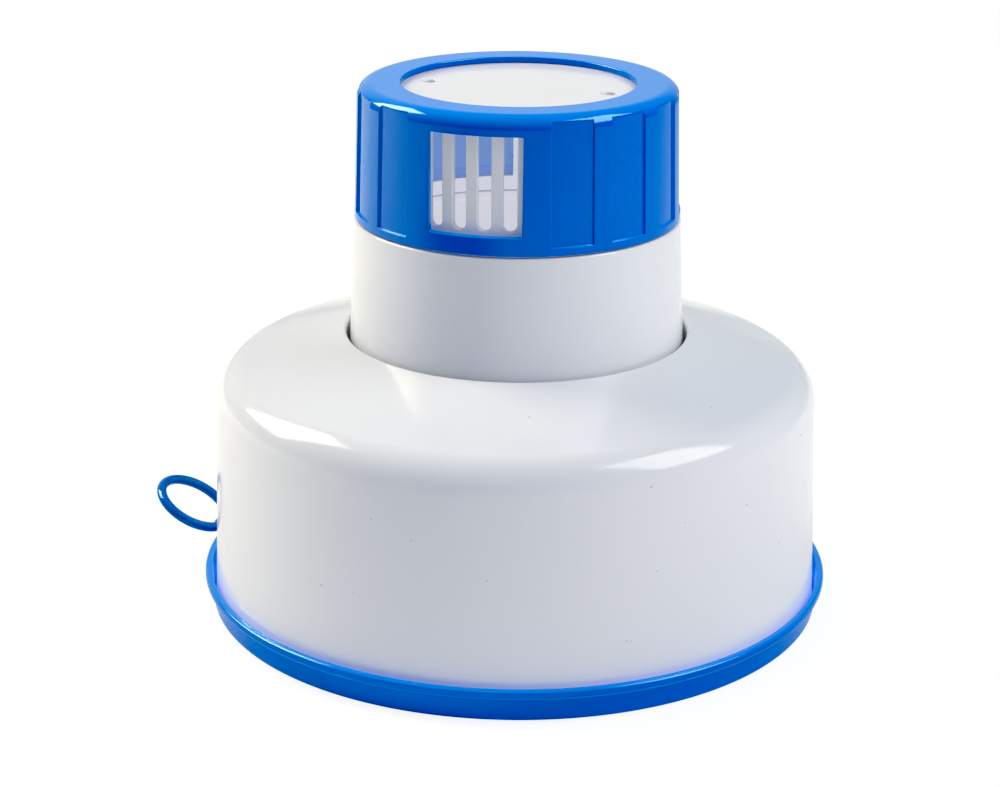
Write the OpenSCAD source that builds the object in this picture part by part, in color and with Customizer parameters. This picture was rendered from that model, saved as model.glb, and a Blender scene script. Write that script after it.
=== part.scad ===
// Floating chlorine dispenser, standing on its flat base cover with the flow cap upwards.
// Origin: centre of the base cover's underside. +Z runs up through the tablet chamber to
// the cap. Angles named az are measured about +Z from the front (-Y) towards +X.

/* [Base cover] */
// Diameter across the lip of the base cover
lip_d = 182; // [180:0.5:186]
// Height of the lip above the underside
lip_h = 9.84; // [9.6:0.02:10.4]
// Thickness of the base cover's floor
floor_t = 2.6; // [2.4:0.1:2.8]
// Number of screws that hold the tablet chamber to the base cover
screw_count = 6; // [4:1:8]

/* [Float shell] */
// Height of the edge of the neck hole
hole_z = 81.06; // [79.5:0.1:83]
// Radius of the neck hole
hole_r = 48.7; // [48.4:0.1:49.4]
// Wall thickness of the float shell
shell_wall = 2.2; // [1.9:0.1:2.4]
// Radius of the shoulder
shoulder_r = 10.4; // [8.5:0.1:12]

/* [Tablet chamber] */
// Height of the chamber's mouth
mouth_z = 114.3; // [112:0.1:116]
// Outside radius of the chamber at its mouth
mouth_r = 46.01; // [45.8:0.01:46.1]
// Wall thickness of the chamber
neck_wall = 2.3; // [2.2:0.02:2.3]
// Tablet diameter
tablet_d = 76; // [70:1:78]
// Tablet thickness
tablet_t = 25; // [18:0.5:27]

/* [Flow cap] */
// Height of the cap above the chamber's mouth
cap_h = 38.2; // [37:0.1:40]
// Number of slots in each slotted panel
slot_count = 4; // [3:1:4]
// Width of one slot
slot_w = 3.35; // [2.4:0.05:3.6]
// Angle between neighbouring slots
slot_pitch = 9.13; // [8.8:0.01:9.4]
// Width of a collar window along its chord
window_w = 25.7; // [20:0.1:26]
// Height of a collar window
window_h = 27; // [22:0.2:27.2]
// Depth of the grip recesses
grip_depth = 0.65; // [0.3:0.05:0.8]
// Vent hole diameter in the end disc
vent_d = 4.4; // [3:0.1:5]
// Rise of the cap for one full turn
thread_lead = 24; // [22:0.5:26]

/* [Tether ring] */
// Wire diameter of the tether ring
wire_d = 2.66; // [2.3:0.02:2.7]
// Radius of the ring's centreline
ring_r = 10.72; // [10.2:0.02:11.5]
// Tilt of the ring above the horizontal
ring_tilt = 30.2; // [0:0.1:60]
// Place of the lug round the rim
lug_az = -105.6; // [-150:0.1:-60]

/* [Hidden] */

blue = [0.0, 0.33, 0.80];
white = [0.90, 0.91, 0.93];
foam_white = [0.97, 0.97, 0.95];
gasket_grey = [0.2, 0.2, 0.21];
screw_grey = [0.75, 0.76, 0.78];
seal_grey = [0.85, 0.86, 0.9];
tablet_white = [0.93, 0.94, 0.92];

turn_fn = 240;                     // large turned shapes
boss_fn = 64;                      // bosses, lug and screw heads
hole_fn = 48;                      // small holes and pins

gap = 0.06;                        // slack between pieces that rest together
lip_r = lip_d / 2;

// float shell: drafted wall, round shoulder, and a straight cone tangent to the shoulder
draft = 0.0347;
function shell_out(z) = lip_r - 3.57 - draft * (z - 18);
function shell_in(z) = shell_out(z) - shell_wall;
wall_lean = atan(draft);
shoulder_z = 61.8;
shoulder_x = shell_out(shoulder_z) - shoulder_r / cos(wall_lean);
hole_dx = shoulder_x - hole_r;     // from the neck hole's edge to the shoulder's centre
hole_dz = hole_z - shoulder_z;
cone_fall = atan2(hole_dz, hole_dx)
          - asin(shoulder_r / sqrt(hole_dx * hole_dx + hole_dz * hole_dz));
function cone_z(r) = hole_z - (r - hole_r) * tan(cone_fall);
snap_r = shell_in(8);              // inside radius at the snap joint

// tapered chamber, its flange and the screws
taper = 0.0461;
function can_out(z) = mouth_r + taper * (mouth_z - z);
function can_in(z) = can_out(z) - neck_wall;
can_foot = floor_t + 1.2;
flange_z = floor_t + 5.9;
flange_t = 2.5;
screw_pcr = can_out(flange_z) + 5.4;    // radius of the screw circle
flange_r = screw_pcr + 4.2;

// chamber's mouth: ledge, seal and the insert's threaded ring
ledge_z = mouth_z - 4.3;
seal_t = 0.6;
insert_z = ledge_z + seal_t + 0.05;
insert_r = 42.82;
insert_in = 41.0;
thread_starts = 4;
thread_lean = atan(thread_lead / (2 * PI * insert_r));

// cap: end disc of the insert, and the stops it shares with the collar
top_z = mouth_z + cap_h;
disc_z = top_z - 1.8;
disc_t = 2;
disc_under = disc_z - disc_t;
stop_az = 30;
stop_pcr = 38;

// tether lug
lug_r = lip_r + 1.7;
lug_z = lip_h - 1.04;

// points along an arc, between two angles
function arc(x, z, r, from, to, steps) =
  [for (i = [0:steps]) let (a = from + (to - from) * i / steps) [x + r * cos(a), z + r * sin(a)]];

// turns a shape drawn along +X so that it points to az
module to_az(az) { rotate([0, 0, az - 90]) children(); }

// the same at az and on the opposite side
module to_both(az) { for (side = [0, 180]) to_az(az + side) children(); }

// turns a profile through an angle, starting from +X
module swept(angle) { rotate_extrude(angle = angle, $fn = turn_fn) children(); }

// a copy on each screw's axis, at height z
module at_screws(z) {
  for (i = [0:screw_count - 1]) rotate([0, 0, (i + 0.5) * 360 / screw_count])
    translate([screw_pcr, 0, z]) children();
}

// one short thread ridge for each start: ring sectors cut to slabs that lean by the lead angle
module thread_ridges(inner, outer, z, thickness) {
  for (i = [0:thread_starts - 1]) rotate([0, 0, i * 360 / thread_starts])
    intersection() {
      rotate([0, 0, -10]) swept(20)
        translate([inner, z - 3]) square([outer - inner, 6]);
      translate([outer - outer + inner, 0, z]) rotate([thread_lean, 0, 0])
        cube([20, 40, thickness], center = true);
    }
}

// dish that closes the float, with the lip, the snap rib, chamber seat and tether lug
module base_cover() {
  root_z = floor_t - 0.5;          // ribs and bosses start inside the floor
  seat_rib_t = 1.2;
  lug_t = 2.6;
  lug_round = 3.1;
  snap_inner = snap_r - 2.5;
  snap_foot = snap_r - 0.85;
  snap_bead = snap_r - 0.3;
  snap_top = floor_t + 6.6;
  color(blue)
  difference() {
    union() {
      rotate_extrude($fn = turn_fn) {
        // dish: bottom edge, flared side, rounded lip, inside fillet
        polygon(concat(
          [[0, 0]],
          arc(lip_r - 3.86, 1.6, 1.6, -90, -8, 6),
          [[lip_r - 1.45, 6.85]],
          arc(lip_r - 0.95, lip_h - 1.48, 0.95, -62, 0, 6),
          arc(lip_r - 0.85, lip_h - 0.85, 0.85, 0, 90, 8),
          arc(lip_r - 1.74, lip_h - 0.3, 0.3, 90, 180, 4),
          arc(lip_r - 3.7, floor_t + 1.4, 1.4, 0, -90, 5),
          [[0, floor_t]]));
        // snap rib with its bead
        polygon([[snap_inner, root_z], [snap_foot, root_z], [snap_foot, floor_t + 3.8],
                 [snap_bead, floor_t + 4.4], [snap_bead, floor_t + 4.9],
                 [snap_r - 1.3, snap_top], [snap_inner, snap_top]]);
        // ribs on both sides of the gasket
        translate([can_in(can_foot) - 2.8, root_z]) square([seat_rib_t, 3.9]);
        translate([can_out(can_foot) + 0.6, root_z]) square([seat_rib_t, 3.4]);
      }
      at_screws(root_z) cylinder(h = flange_z - root_z - gap, r = 3.7, $fn = boss_fn);
      // tether lug
      to_az(lug_az) {
        translate([lug_r, lug_t / 2, lug_z]) rotate([90, 0, 0])
          cylinder(h = lug_t, r = lug_round, $fn = boss_fn);
        translate([lip_r - 2.2, -lug_t / 2, lug_z - lug_round])
          cube([lug_r - lip_r + 2.2, lug_t, 4.12]);
      }
    }
    // blind pilot holes
    at_screws(1.4) cylinder(h = 20, r = 1.78, $fn = hole_fn);
    // eye of the lug
    to_az(lug_az) translate([lug_r, 10, lug_z]) rotate([90, 0, 0])
      cylinder(h = 20, r = wire_d / 2 + 0.2, $fn = boss_fn);
  }
}

// drum-shaped float shell with the round shoulder, cone and neck hole
module float_shell() {
  hole_edge = 0.7;
  foot_edge = 0.9;
  bead_r = snap_r - 0.72;
  neck_out = hole_r + 2.2;
  neck_foot = hole_z - 5.5;
  color(white)
  rotate_extrude($fn = turn_fn)
    polygon(concat(
      // outside, from the neck hole over the cone and shoulder to the foot
      arc(hole_r + hole_edge, hole_z - hole_edge - hole_edge * tan(cone_fall) / 2, hole_edge,
          180, 90 - cone_fall, 6),
      arc(shoulder_x, shoulder_z, shoulder_r, 90 - cone_fall, wall_lean, 18),
      arc(shell_out(floor_t + 1) - foot_edge, floor_t + foot_edge + gap, foot_edge, 0, -90, 5),
      // inside, with the snap bead
      [[shell_in(3), floor_t + gap], [shell_in(4), floor_t + 1.6], [bead_r, floor_t + 2.4],
       [bead_r, floor_t + 3.2], [shell_in(7), floor_t + 3.9]],
      arc(shoulder_x, shoulder_z, shoulder_r - shell_wall, wall_lean, 90 - cone_fall, 14),
      // short neck that hangs round the hole
      [[neck_out, cone_z(neck_out) - shell_wall / cos(cone_fall)], [neck_out, neck_foot],
       [hole_r, neck_foot]]));
}

// closed-cell foam ring that keeps the dispenser afloat
module float_foam_ring() {
  foam_in = hole_r + 3.6;
  foam_z = floor_t + 11.8;
  side_top = shoulder_z - 3;
  crest_r = hole_r + 5;
  roof_z = cone_z(crest_r) - shell_wall;
  // where the shell's cone meets the shoulder
  tangent_r = shoulder_x + shoulder_r * sin(cone_fall);
  tangent_z = shoulder_z + shoulder_r * cos(cone_fall);
  color(foam_white)
  rotate_extrude($fn = turn_fn)
    polygon([[foam_in, foam_z], [shell_in(16) - 3, foam_z], [shell_in(20) - 1, foam_z + 2],
             [shell_in(side_top) - 1, side_top],
             [tangent_r - shell_wall - 2, tangent_z - shell_wall - 1.6],
             [crest_r, roof_z - 1.2], [foam_in, roof_z - 2.2]]);
}

// tapered tube that holds the tablets, flanged at its foot and threaded at its mouth
module canister() {
  edge = 0.4;
  blank_in = can_in(mouth_z) - 3;  // inside of the tube before it is bored
  ledge_in = can_in(ledge_z) - 1.85;
  mouth_in = can_in(mouth_z) + 0.35;
  color(white)
  difference() {
    union() {
      rotate_extrude($fn = turn_fn)
      difference() {
        union() {
          polygon([[can_in(can_foot) - 0.01, can_foot], [can_out(can_foot), can_foot],
                   [can_out(mouth_z - edge), mouth_z - edge], [mouth_r - edge, mouth_z],
                   [blank_in, mouth_z], [blank_in, can_foot]]);
          translate([can_out(flange_z) - 1, flange_z])
            square([flange_r - can_out(flange_z) + 1, flange_t]);
        }
        // bore below the ledge, ledge, and mouth bore
        polygon([[0, can_foot - 1], [can_in(can_foot - 1), can_foot - 1],
                 [can_in(ledge_z - 3.4), ledge_z - 3.4], [ledge_in, ledge_z - 1.5],
                 [ledge_in, ledge_z], [can_in(ledge_z), ledge_z],
                 [can_in(mouth_z - edge), mouth_z - edge], [mouth_in, mouth_z + 0.1],
                 [mouth_in, mouth_z + 1], [0, mouth_z + 1]]);
      }
      // internal thread
      thread_ridges(insert_r + 0.28, can_in(ledge_z) + 0.6, ledge_z + 2.9, 1.0);
    }
    at_screws(0) cylinder(h = 40, r = 1.95, $fn = hole_fn);
  }
}

// flat ring between the chamber's foot and the base cover
module canister_gasket() {
  color(gasket_grey)
  rotate_extrude($fn = turn_fn)
    translate([can_in(can_foot) - 1.4, floor_t + 0.02])
      square([neck_wall + 1.8, can_foot - floor_t - 0.05]);
}

// pan-head screws, flange to base cover
module canister_screws() {
  head_r = 3.5;
  head_h = 1.5;
  shank_r = 1.75;
  shank_l = 8.4;
  tip_h = 0.9;
  cross_l = 3.8;
  cross_w = 0.8;
  color(screw_grey)
  at_screws(flange_z + flange_t + 0.02) {
    difference() {
      union() {
        cylinder(h = head_h, r = head_r, $fn = boss_fn);
        translate([0, 0, head_h]) cylinder(h = 0.8, r1 = head_r, r2 = 2.4, $fn = boss_fn);
      }
      // cross recess
      for (turn = [0, 90]) rotate([0, 0, turn])
        translate([-cross_l / 2, -cross_w / 2, 0.9]) cube([cross_l, cross_w, 3]);
    }
    translate([0, 0, -shank_l]) cylinder(h = shank_l + 0.1, r = shank_r, $fn = hole_fn);
    translate([0, 0, -shank_l - tip_h]) cylinder(h = tip_h, r1 = 0.5, r2 = shank_r, $fn = hole_fn);
  }
}

// thin washer under the insert's ring
module cap_seal() {
  color(seal_grey)
  rotate_extrude($fn = turn_fn)
    translate([insert_in + 1.0, ledge_z + 0.02]) square([insert_r - insert_in - 0.8, seal_t]);
}

// grille carrier: threaded ring, two slotted and two plain panels, end disc
module grille_insert() {
  edge = 0.3;
  bead_r = insert_r + 0.5;
  grille_az = -16.2;
  panel_half = 2 * slot_pitch;
  gap_angle = 90 - 2 * panel_half;
  gap_in = insert_in - 2;
  gap_z = mouth_z + 0.7;
  slot_r = slot_w / 2;
  slot_top = disc_under - 0.4;
  rib_h = 2;
  rib_l = 76;
  rib_t = 1.6;
  color(white)
  difference() {
    union() {
      // one turned cup: threaded ring below, panels with the snap bead, end disc on top
      rotate_extrude($fn = turn_fn)
        polygon([[0, disc_under], [insert_in, disc_under], [insert_in, insert_z + edge],
                 [insert_in + edge, insert_z], [insert_r - edge, insert_z],
                 [insert_r, insert_z + edge], [insert_r, mouth_z + 1.9],
                 [bead_r, mouth_z + 2.3], [bead_r, mouth_z + 2.7],
                 [insert_r, mouth_z + 3.25], [insert_r, disc_z - edge],
                 [insert_r - edge, disc_z], [0, disc_z]]);
      thread_ridges(insert_r - 0.5, insert_r + 0.68, ledge_z + 1.8, 0.9);
      // ribs that keep the tablets off the disc
      for (turn = [15, 75, 135]) rotate([0, 0, turn])
        translate([-rib_l / 2, -rib_t / 2, disc_under - rib_h]) cube([rib_l, rib_t, rib_h + 0.5]);
      // stop pins that limit the collar's turn
      to_both(stop_az) translate([stop_pcr, 0, disc_z - 0.5])
        cylinder(h = 1.2, r = 1, $fn = hole_fn);
    }
    // gaps between the panels
    for (i = [0:3]) to_az(grille_az + panel_half + 90 * i) swept(gap_angle)
      translate([gap_in, gap_z]) square([insert_r + 3 - gap_in, disc_under - 1 - gap_z]);
    // slots with round lower ends
    for (i = [0:slot_count - 1])
      to_both(grille_az + (i - (slot_count - 1) / 2) * slot_pitch)
        translate([38, 0, 0]) rotate([90, 0, 90]) linear_extrude(height = 8)
          polygon(concat(arc(0, mouth_z + 7 + slot_r, slot_r, -180, 0, 14),
                         [[slot_r, slot_top], [-slot_r, slot_top]]));
    // vent holes in the end disc
    to_both(grille_az + 90) translate([26, 0, disc_under - 5])
      cylinder(h = 12, d = vent_d, $fn = hole_fn);
  }
}

// turning collar: two windows, grip recesses, retaining flange over the end disc
module flow_collar() {
  collar_z = mouth_z + 0.55;
  collar_in = 42.9;
  collar_r = mouth_r - 0.08;
  function collar_out(z) = collar_r - 0.03 * (z - collar_z);
  edge = 0.3;
  top_edge = 4;
  top_edge_z = top_z - top_edge;
  flange_in = 32.7;
  flange_edge = 0.5;
  snap_groove = insert_r + 0.6;
  bore_top = disc_z + 0.08;
  window_az = -14.8;
  grip_count = 6;                  // on each side
  grip_pitch = 22.5;
  grip_angle = 15.2;
  grip_z = collar_z + 2.2;
  grip_top = top_z + 5;
  stop_angle = 93.6;
  stop_w = 2.3;
  color(blue)
  difference() {
    rotate_extrude($fn = turn_fn)
    difference() {
      polygon(concat(
        arc(flange_in + flange_edge, top_z - flange_edge, flange_edge, 180, 90, 5),
        arc(collar_out(top_edge_z) - top_edge, top_edge_z, top_edge, 90, 0, 15),
        arc(collar_r - edge, collar_z + edge, edge, 0, -90, 3),
        [[collar_in - 1, collar_z], [collar_in - 1, top_z - 8], [flange_in, top_z - 8]]));
      // bore with the groove for the snap beads
      polygon([[0, collar_z - 1], [collar_in + edge, collar_z - 1], [collar_in + edge, collar_z],
               [collar_in, collar_z + edge], [collar_in, mouth_z + 1.75],
               [snap_groove, mouth_z + 2.2], [snap_groove, mouth_z + 2.85],
               [collar_in, mouth_z + 3.7], [collar_in, bore_top], [0, bore_top]]);
    }
    to_both(window_az) translate([30, -window_w / 2, mouth_z + 5.6])
      cube([30, window_w, window_h]);
    // grip recesses, centred between the windows
    for (i = [0:grip_count - 1])
      to_both(window_az + 90 + (i - (grip_count - 1) / 2) * grip_pitch - grip_angle / 2)
        swept(grip_angle)
          polygon([[collar_out(grip_z) - grip_depth, grip_z], [60, grip_z], [60, grip_top],
                   [collar_out(grip_top) - grip_depth, grip_top]]);
    // stop grooves under the flange
    to_both(stop_az + 1.8 - stop_angle) swept(stop_angle)
      translate([stop_pcr - stop_w / 2, disc_z - 1]) square([stop_w, 1.85]);
  }
}

// round-wire ring through the lug's eye
module tether_ring() {
  color(blue)
  to_az(lug_az) translate([lug_r, 0, lug_z]) rotate([0, -ring_tilt, 0])
    translate([ring_r, 0, 0]) rotate_extrude($fn = 120)
      translate([ring_r, 0]) circle(d = wire_d, $fn = 48);
}

// one chlorine tablet with chamfered edges, at its place in the stack counted from 0
module tablet(place) {
  stack_gap = 0.1;
  z = floor_t + stack_gap + place * (tablet_t + stack_gap);
  top = z + tablet_t;
  r = tablet_d / 2;
  face_r = r - 2.4;
  color(tablet_white)
  rotate_extrude($fn = 160)
    polygon([[0, z], [face_r, z], [r, z + 2], [r, top - 2], [face_r, top], [0, top]]);
}
module tablet_lower() { tablet(0); }
module tablet_middle() { tablet(1); }
module tablet_upper() { tablet(2); }

base_cover();
float_shell();
float_foam_ring();
canister();
canister_gasket();
canister_screws();
cap_seal();
grille_insert();
flow_collar();
tether_ring();
tablet_lower();
tablet_middle();
tablet_upper();
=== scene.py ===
import bpy
import bmesh
import math
import numpy as np
from mathutils import Matrix, Vector
from mathutils.geometry import delaunay_2d_cdt


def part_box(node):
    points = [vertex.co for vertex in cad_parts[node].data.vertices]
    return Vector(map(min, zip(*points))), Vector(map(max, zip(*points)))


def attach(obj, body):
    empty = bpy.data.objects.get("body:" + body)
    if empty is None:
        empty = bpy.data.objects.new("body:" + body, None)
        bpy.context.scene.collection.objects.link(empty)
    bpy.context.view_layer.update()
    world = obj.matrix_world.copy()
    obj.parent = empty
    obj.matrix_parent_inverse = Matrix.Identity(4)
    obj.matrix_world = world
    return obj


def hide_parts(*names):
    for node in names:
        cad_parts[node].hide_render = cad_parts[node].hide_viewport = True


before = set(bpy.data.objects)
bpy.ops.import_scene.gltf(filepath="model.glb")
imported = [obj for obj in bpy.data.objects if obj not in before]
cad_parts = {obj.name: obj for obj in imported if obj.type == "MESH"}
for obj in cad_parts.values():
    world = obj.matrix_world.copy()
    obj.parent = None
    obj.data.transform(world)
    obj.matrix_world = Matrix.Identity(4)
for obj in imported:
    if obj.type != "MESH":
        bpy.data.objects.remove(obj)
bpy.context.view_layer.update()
rad = math.radians
rng = np.random.RandomState(7)

# ---------------------------------------------------------------- dimensions (mm)
LIP_R, FLOOR_T, LIP_H = 91.0, 2.6, 9.84
DRAFT = 0.0347
HOLE_R, HOLE_Z = 48.7, 81.06
SH_R, SH_CZ, WALL = 10.4, 61.8, 2.2
MOUTH_Z, MOUTH_R, TAPER, NECK = 114.3, 46.01, 0.0461, 2.3
INS_R, INS_IN = 42.82, 41.0
TOP_Z = 152.5
COL_Z, COL_IN, COL_R, COL_TOP = 114.85, 42.9, 45.93, 4.0
FLANGE_IN, DISC_Z, DISC_T = 32.7, 150.7, 2.0
GRILLE, WINDOW = -16.2, -14.8
SLOT_W, SLOT_P, SLOT_Z, SLOT_TOP = 3.35, 9.13, 121.3, 148.3
WIN_Z, WIN_H, WIN_W, GRIP = 119.9, 27.0, 25.7, 0.65
VENT_R = 2.2
LEDGE = MOUTH_Z - 4.3
LUG_AZ, LUG_R, LUG_Z, LUG_T = -105.6, 92.7, 8.8, 2.6
WIRE, RING_R, TILT = 2.66, 10.72, 30.2
LEAD = 24.0


def shell_out(z):
    return LIP_R - 3.57 - DRAFT * (z - 18)


def shell_in(z):
    return shell_out(z) - WALL


def can_out(z):
    return MOUTH_R + TAPER * (MOUTH_Z - z)


def can_in(z):
    return can_out(z) - NECK


def col_out(z):
    return COL_R - 0.03 * (z - COL_Z)


WALL_A = math.degrees(math.atan(DRAFT))
SH_CR = shell_out(SH_CZ) - SH_R / math.cos(rad(WALL_A))
CONE_A = math.degrees(math.atan2(HOLE_Z - SH_CZ, SH_CR - HOLE_R)
                      - math.asin(SH_R / math.hypot(HOLE_Z - SH_CZ, SH_CR - HOLE_R)))
TAN_R = SH_CR + SH_R * math.sin(rad(CONE_A))
TAN_Z = SH_CZ + SH_R * math.cos(rad(CONE_A))
FLANGE_Z, CAN_FOOT = FLOOR_T + 5.9, FLOOR_T + 1.2
PCR = can_out(FLANGE_Z) + 5.4


def cone_z(r):
    return HOLE_Z - (r - HOLE_R) * math.tan(rad(CONE_A))


# ---------------------------------------------------------------- mesh tools
def arc(cx, cz, r, a0, a1, n):
    return [(cx + r * math.cos(rad(a0 + (a1 - a0) * i / n)), cz + r * math.sin(rad(a0 + (a1 - a0) * i / n)), 0)
            for i in range(n + 1)]


def rounded(pts, k=5):
    """Closed (r, z, fillet) outline with its corners rounded."""
    out = []
    n = len(pts)
    for i, (r, z, f) in enumerate(pts):
        p = np.array([r, z], float)
        if f <= 0:
            out.append(p)
            continue
        a, b = np.array(pts[i - 1][:2], float), np.array(pts[(i + 1) % n][:2], float)
        la, lb = np.linalg.norm(a - p), np.linalg.norm(b - p)
        u, w = (a - p) / la, (b - p) / lb
        ang = math.acos(max(-1, min(1, float(u @ w))))
        if math.pi - ang < 0.03:
            out.append(p)
            continue
        d = min(f / math.tan(ang / 2), 0.46 * la, 0.46 * lb)
        f = d * math.tan(ang / 2)
        m = (u + w) / np.linalg.norm(u + w)
        c = p + m * f / math.sin(ang / 2)
        v0, v1 = (p + u * d - c) / f, (p + w * d - c) / f
        om = math.acos(max(-1, min(1, float(v0 @ v1))))
        for j in range(k + 1):
            t = j / k
            v = (math.sin((1 - t) * om) * v0 + math.sin(t * om) * v1) / math.sin(om)
            out.append(c + f * v)
    return np.array(out)


def split_long(rows, step, closed=False):
    out = []
    n = len(rows)
    for i in range(n if closed else n - 1):
        a, b = rows[i], rows[(i + 1) % n]
        k = max(1, int(math.ceil(np.linalg.norm(b - a) / step)))
        for j in range(k):
            out.append(a + (b - a) * j / k)
    if not closed:
        out.append(rows[-1])
    return np.array(out)


def cyl(r, t, z):
    r, t, z = np.broadcast_arrays(r, t, z)
    return np.stack([r * np.sin(t), -r * np.cos(t), z], -1)


class Mesh:
    def __init__(self):
        self.P, self.N, self.F, self.n = [], [], [], 0

    def add(self, P, N=None):
        P = np.asarray(P, float).reshape(-1, 3)
        self.P.append(P)
        self.N.append(np.full(P.shape, np.nan) if N is None else np.asarray(N, float).reshape(-1, 3))
        base = self.n
        self.n += len(P)
        return base

    def faces(self, F):
        F = np.asarray(F, np.int64)
        if len(F):
            self.F.append(F.reshape(-1, F.shape[-1]))

    def lattice(self, thetas, rows, closed=True, wrap=True, mod=None, skip=(), normal=None):
        """Grid of (theta, profile row). mod(T, r, z) may move r; skip holds (i0, i1, j0, j1) cell ranges left open."""
        T = np.asarray(thetas)[:, None]
        r, z = rows[:, 0][None, :], rows[:, 1][None, :]
        if mod:
            r, z = mod(T, r, z)
        P = cyl(r, T, z)
        N = normal(T, np.broadcast_to(r, P.shape[:2]), np.broadcast_to(z, P.shape[:2])) if normal else None
        nt, nr = P.shape[:2]
        idx = self.add(P, N) + np.arange(nt * nr).reshape(nt, nr)
        g = np.vstack([idx, idx[:1]]) if wrap else idx
        g = np.hstack([g, g[:, :1]]) if closed else g
        mask = np.ones((g.shape[0] - 1, g.shape[1] - 1), bool)
        for i0, i1, j0, j1 in skip:
            mask[i0:i1, j0:j1] = False
        self.faces(np.stack([g[:-1, :-1][mask], g[1:, :-1][mask], g[1:, 1:][mask], g[:-1, 1:][mask]], -1))
        return idx

    def strip(self, a, b, closed=True):
        a, b = np.asarray(a), np.asarray(b)
        if closed:
            a2, b2 = np.roll(a, -1), np.roll(b, -1)
            self.faces(np.stack([a, a2, b2, b], -1))
        else:
            self.faces(np.stack([a[:-1], a[1:], b[1:], b[:-1]], -1))

    def fill(self, pts, ids, loops, holes):
        """Triangulates 2D points with constrained loops (index lists) and empty hole polygons."""
        edges = []
        for lp in loops:
            edges += [(lp[i], lp[(i + 1) % len(lp)]) for i in range(len(lp))]
        res = delaunay_2d_cdt([Vector(p) for p in pts.tolist()], edges, [], 0, 1e-7)
        vs = np.array([list(v) for v in res[0]])
        orig = res[3]
        tri = np.array([f for f in res[2] if len(f) == 3])
        c = vs[tri].mean(1)
        keep = np.ones(len(tri), bool)
        keep &= inside(c, pts[np.array(loops[0])])
        for h in holes:
            keep &= ~inside(c, h)
        ids = np.asarray(ids)
        m = np.array([ids[o[0]] if len(o) else -1 for o in orig])
        tri = m[tri[keep]]
        self.faces(tri[(tri >= 0).all(1)])


def inside(p, poly):
    x, y = p[:, 0], p[:, 1]
    r = np.zeros(len(p), bool)
    n = len(poly)
    for i in range(n):
        (x0, y0), (x1, y1) = poly[i], poly[(i + 1) % n]
        c = (y0 > y) != (y1 > y)
        if y1 != y0:
            r ^= c & (x < (x1 - x0) * (y - y0) / (y1 - y0) + x0)
    return r


def near_loop(p, poly, d):
    a, b = poly, np.roll(poly, -1, 0)
    best = np.full(len(p), 1e9)
    for i in range(len(a)):
        ab = b[i] - a[i]
        t = np.clip(((p - a[i]) @ ab) / max(ab @ ab, 1e-12), 0, 1)
        best = np.minimum(best, np.linalg.norm(p - a[i] - t[:, None] * ab, axis=1))
    return best < d


def corner_normals(me, lookup, angle):
    nf, nl, nv = len(me.polygons), len(me.loops), len(me.vertices)
    lv = np.empty(nl, np.int32); me.loops.foreach_get("vertex_index", lv)
    fn = np.empty(nf * 3, np.float32); me.polygons.foreach_get("normal", fn); fn = fn.reshape(-1, 3).astype(float)
    fa = np.empty(nf, np.float32); me.polygons.foreach_get("area", fa); fa = fa.astype(float) * 1e6
    lt = np.empty(nf, np.int32); me.polygons.foreach_get("loop_total", lt)
    co = np.empty(nv * 3, np.float32); me.vertices.foreach_get("co", co); co = co.reshape(-1, 3)
    lf = np.repeat(np.arange(nf), lt)
    order = np.argsort(lv, kind="stable")
    sf = lf[order]
    count = np.bincount(lv, minlength=nv)
    start = np.cumsum(count) - count
    c = count[lv]
    loop_id = np.repeat(np.arange(nl), c)
    off = np.arange(c.sum()) - np.repeat(np.cumsum(c) - c, c)
    g = sf[np.repeat(start[lv], c) + off]
    f = lf[loop_id]
    w = fa[g] * ((fn[f] * fn[g]).sum(1) > math.cos(angle))
    N = np.stack([np.bincount(loop_id, weights=w * fn[g][:, k], minlength=nl) for k in range(3)], -1)
    N /= np.maximum(np.linalg.norm(N, axis=1, keepdims=True), 1e-12)
    bad = np.linalg.norm(N, axis=1) < 0.5
    N[bad] = fn[lf[bad]]
    if lookup:
        key = np.round(co * 1000 / 2e-3).astype(np.int64)
        A = np.full((nv, 3), np.nan)
        for i, k in enumerate(map(tuple, key.tolist())):
            n = lookup.get(k)
            if n is not None:
                A[i] = n
        a = A[lv]
        ok = ~np.isnan(a[:, 0])
        ok[ok] = (a[ok] * fn[lf[ok]]).sum(1) > math.cos(angle)
        N[ok] = a[ok]
    me.normals_split_custom_set(N.tolist())


def to_object(M, name):
    P, N = np.concatenate(M.P), np.concatenate(M.N)
    key = np.round(P / 2e-4).astype(np.int64)
    _, first, inv = np.unique(key, axis=0, return_index=True, return_inverse=True)
    inv = inv.ravel()
    faces = []
    for F in M.F:
        F = inv[F]
        if F.shape[1] == 3:
            ok = (F[:, 0] != F[:, 1]) & (F[:, 1] != F[:, 2]) & (F[:, 0] != F[:, 2])
            faces += F[ok].tolist()
        else:
            s = np.sort(F, 1)
            clean = (s[:, 1:] != s[:, :-1]).all(1)
            faces += F[clean].tolist()
            for q in F[~clean].tolist():
                t = [q[i] for i in range(4) if q[i] != q[i - 1]]
                if len(set(t)) >= 3 and len(t) == len(set(t)):
                    faces.append(t)
    me = bpy.data.meshes.new(name)
    me.from_pydata((P[first] * 1e-3).tolist(), [], faces)
    bm = bmesh.new()
    bm.from_mesh(me)
    loose = [v for v in bm.verts if not v.link_faces]
    bmesh.ops.delete(bm, geom=loose, context="VERTS")
    bmesh.ops.recalc_face_normals(bm, faces=bm.faces[:])
    bm.to_mesh(me)
    bm.free()
    o = bpy.data.objects.new(name, me)
    bpy.context.scene.collection.objects.link(o)
    nn = N[first]
    ok = ~np.isnan(nn[:, 0])
    kk = np.round(P[first][ok] / 2e-3).astype(np.int64)
    return o, dict(zip(map(tuple, kk.tolist()), nn[ok]))


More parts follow.
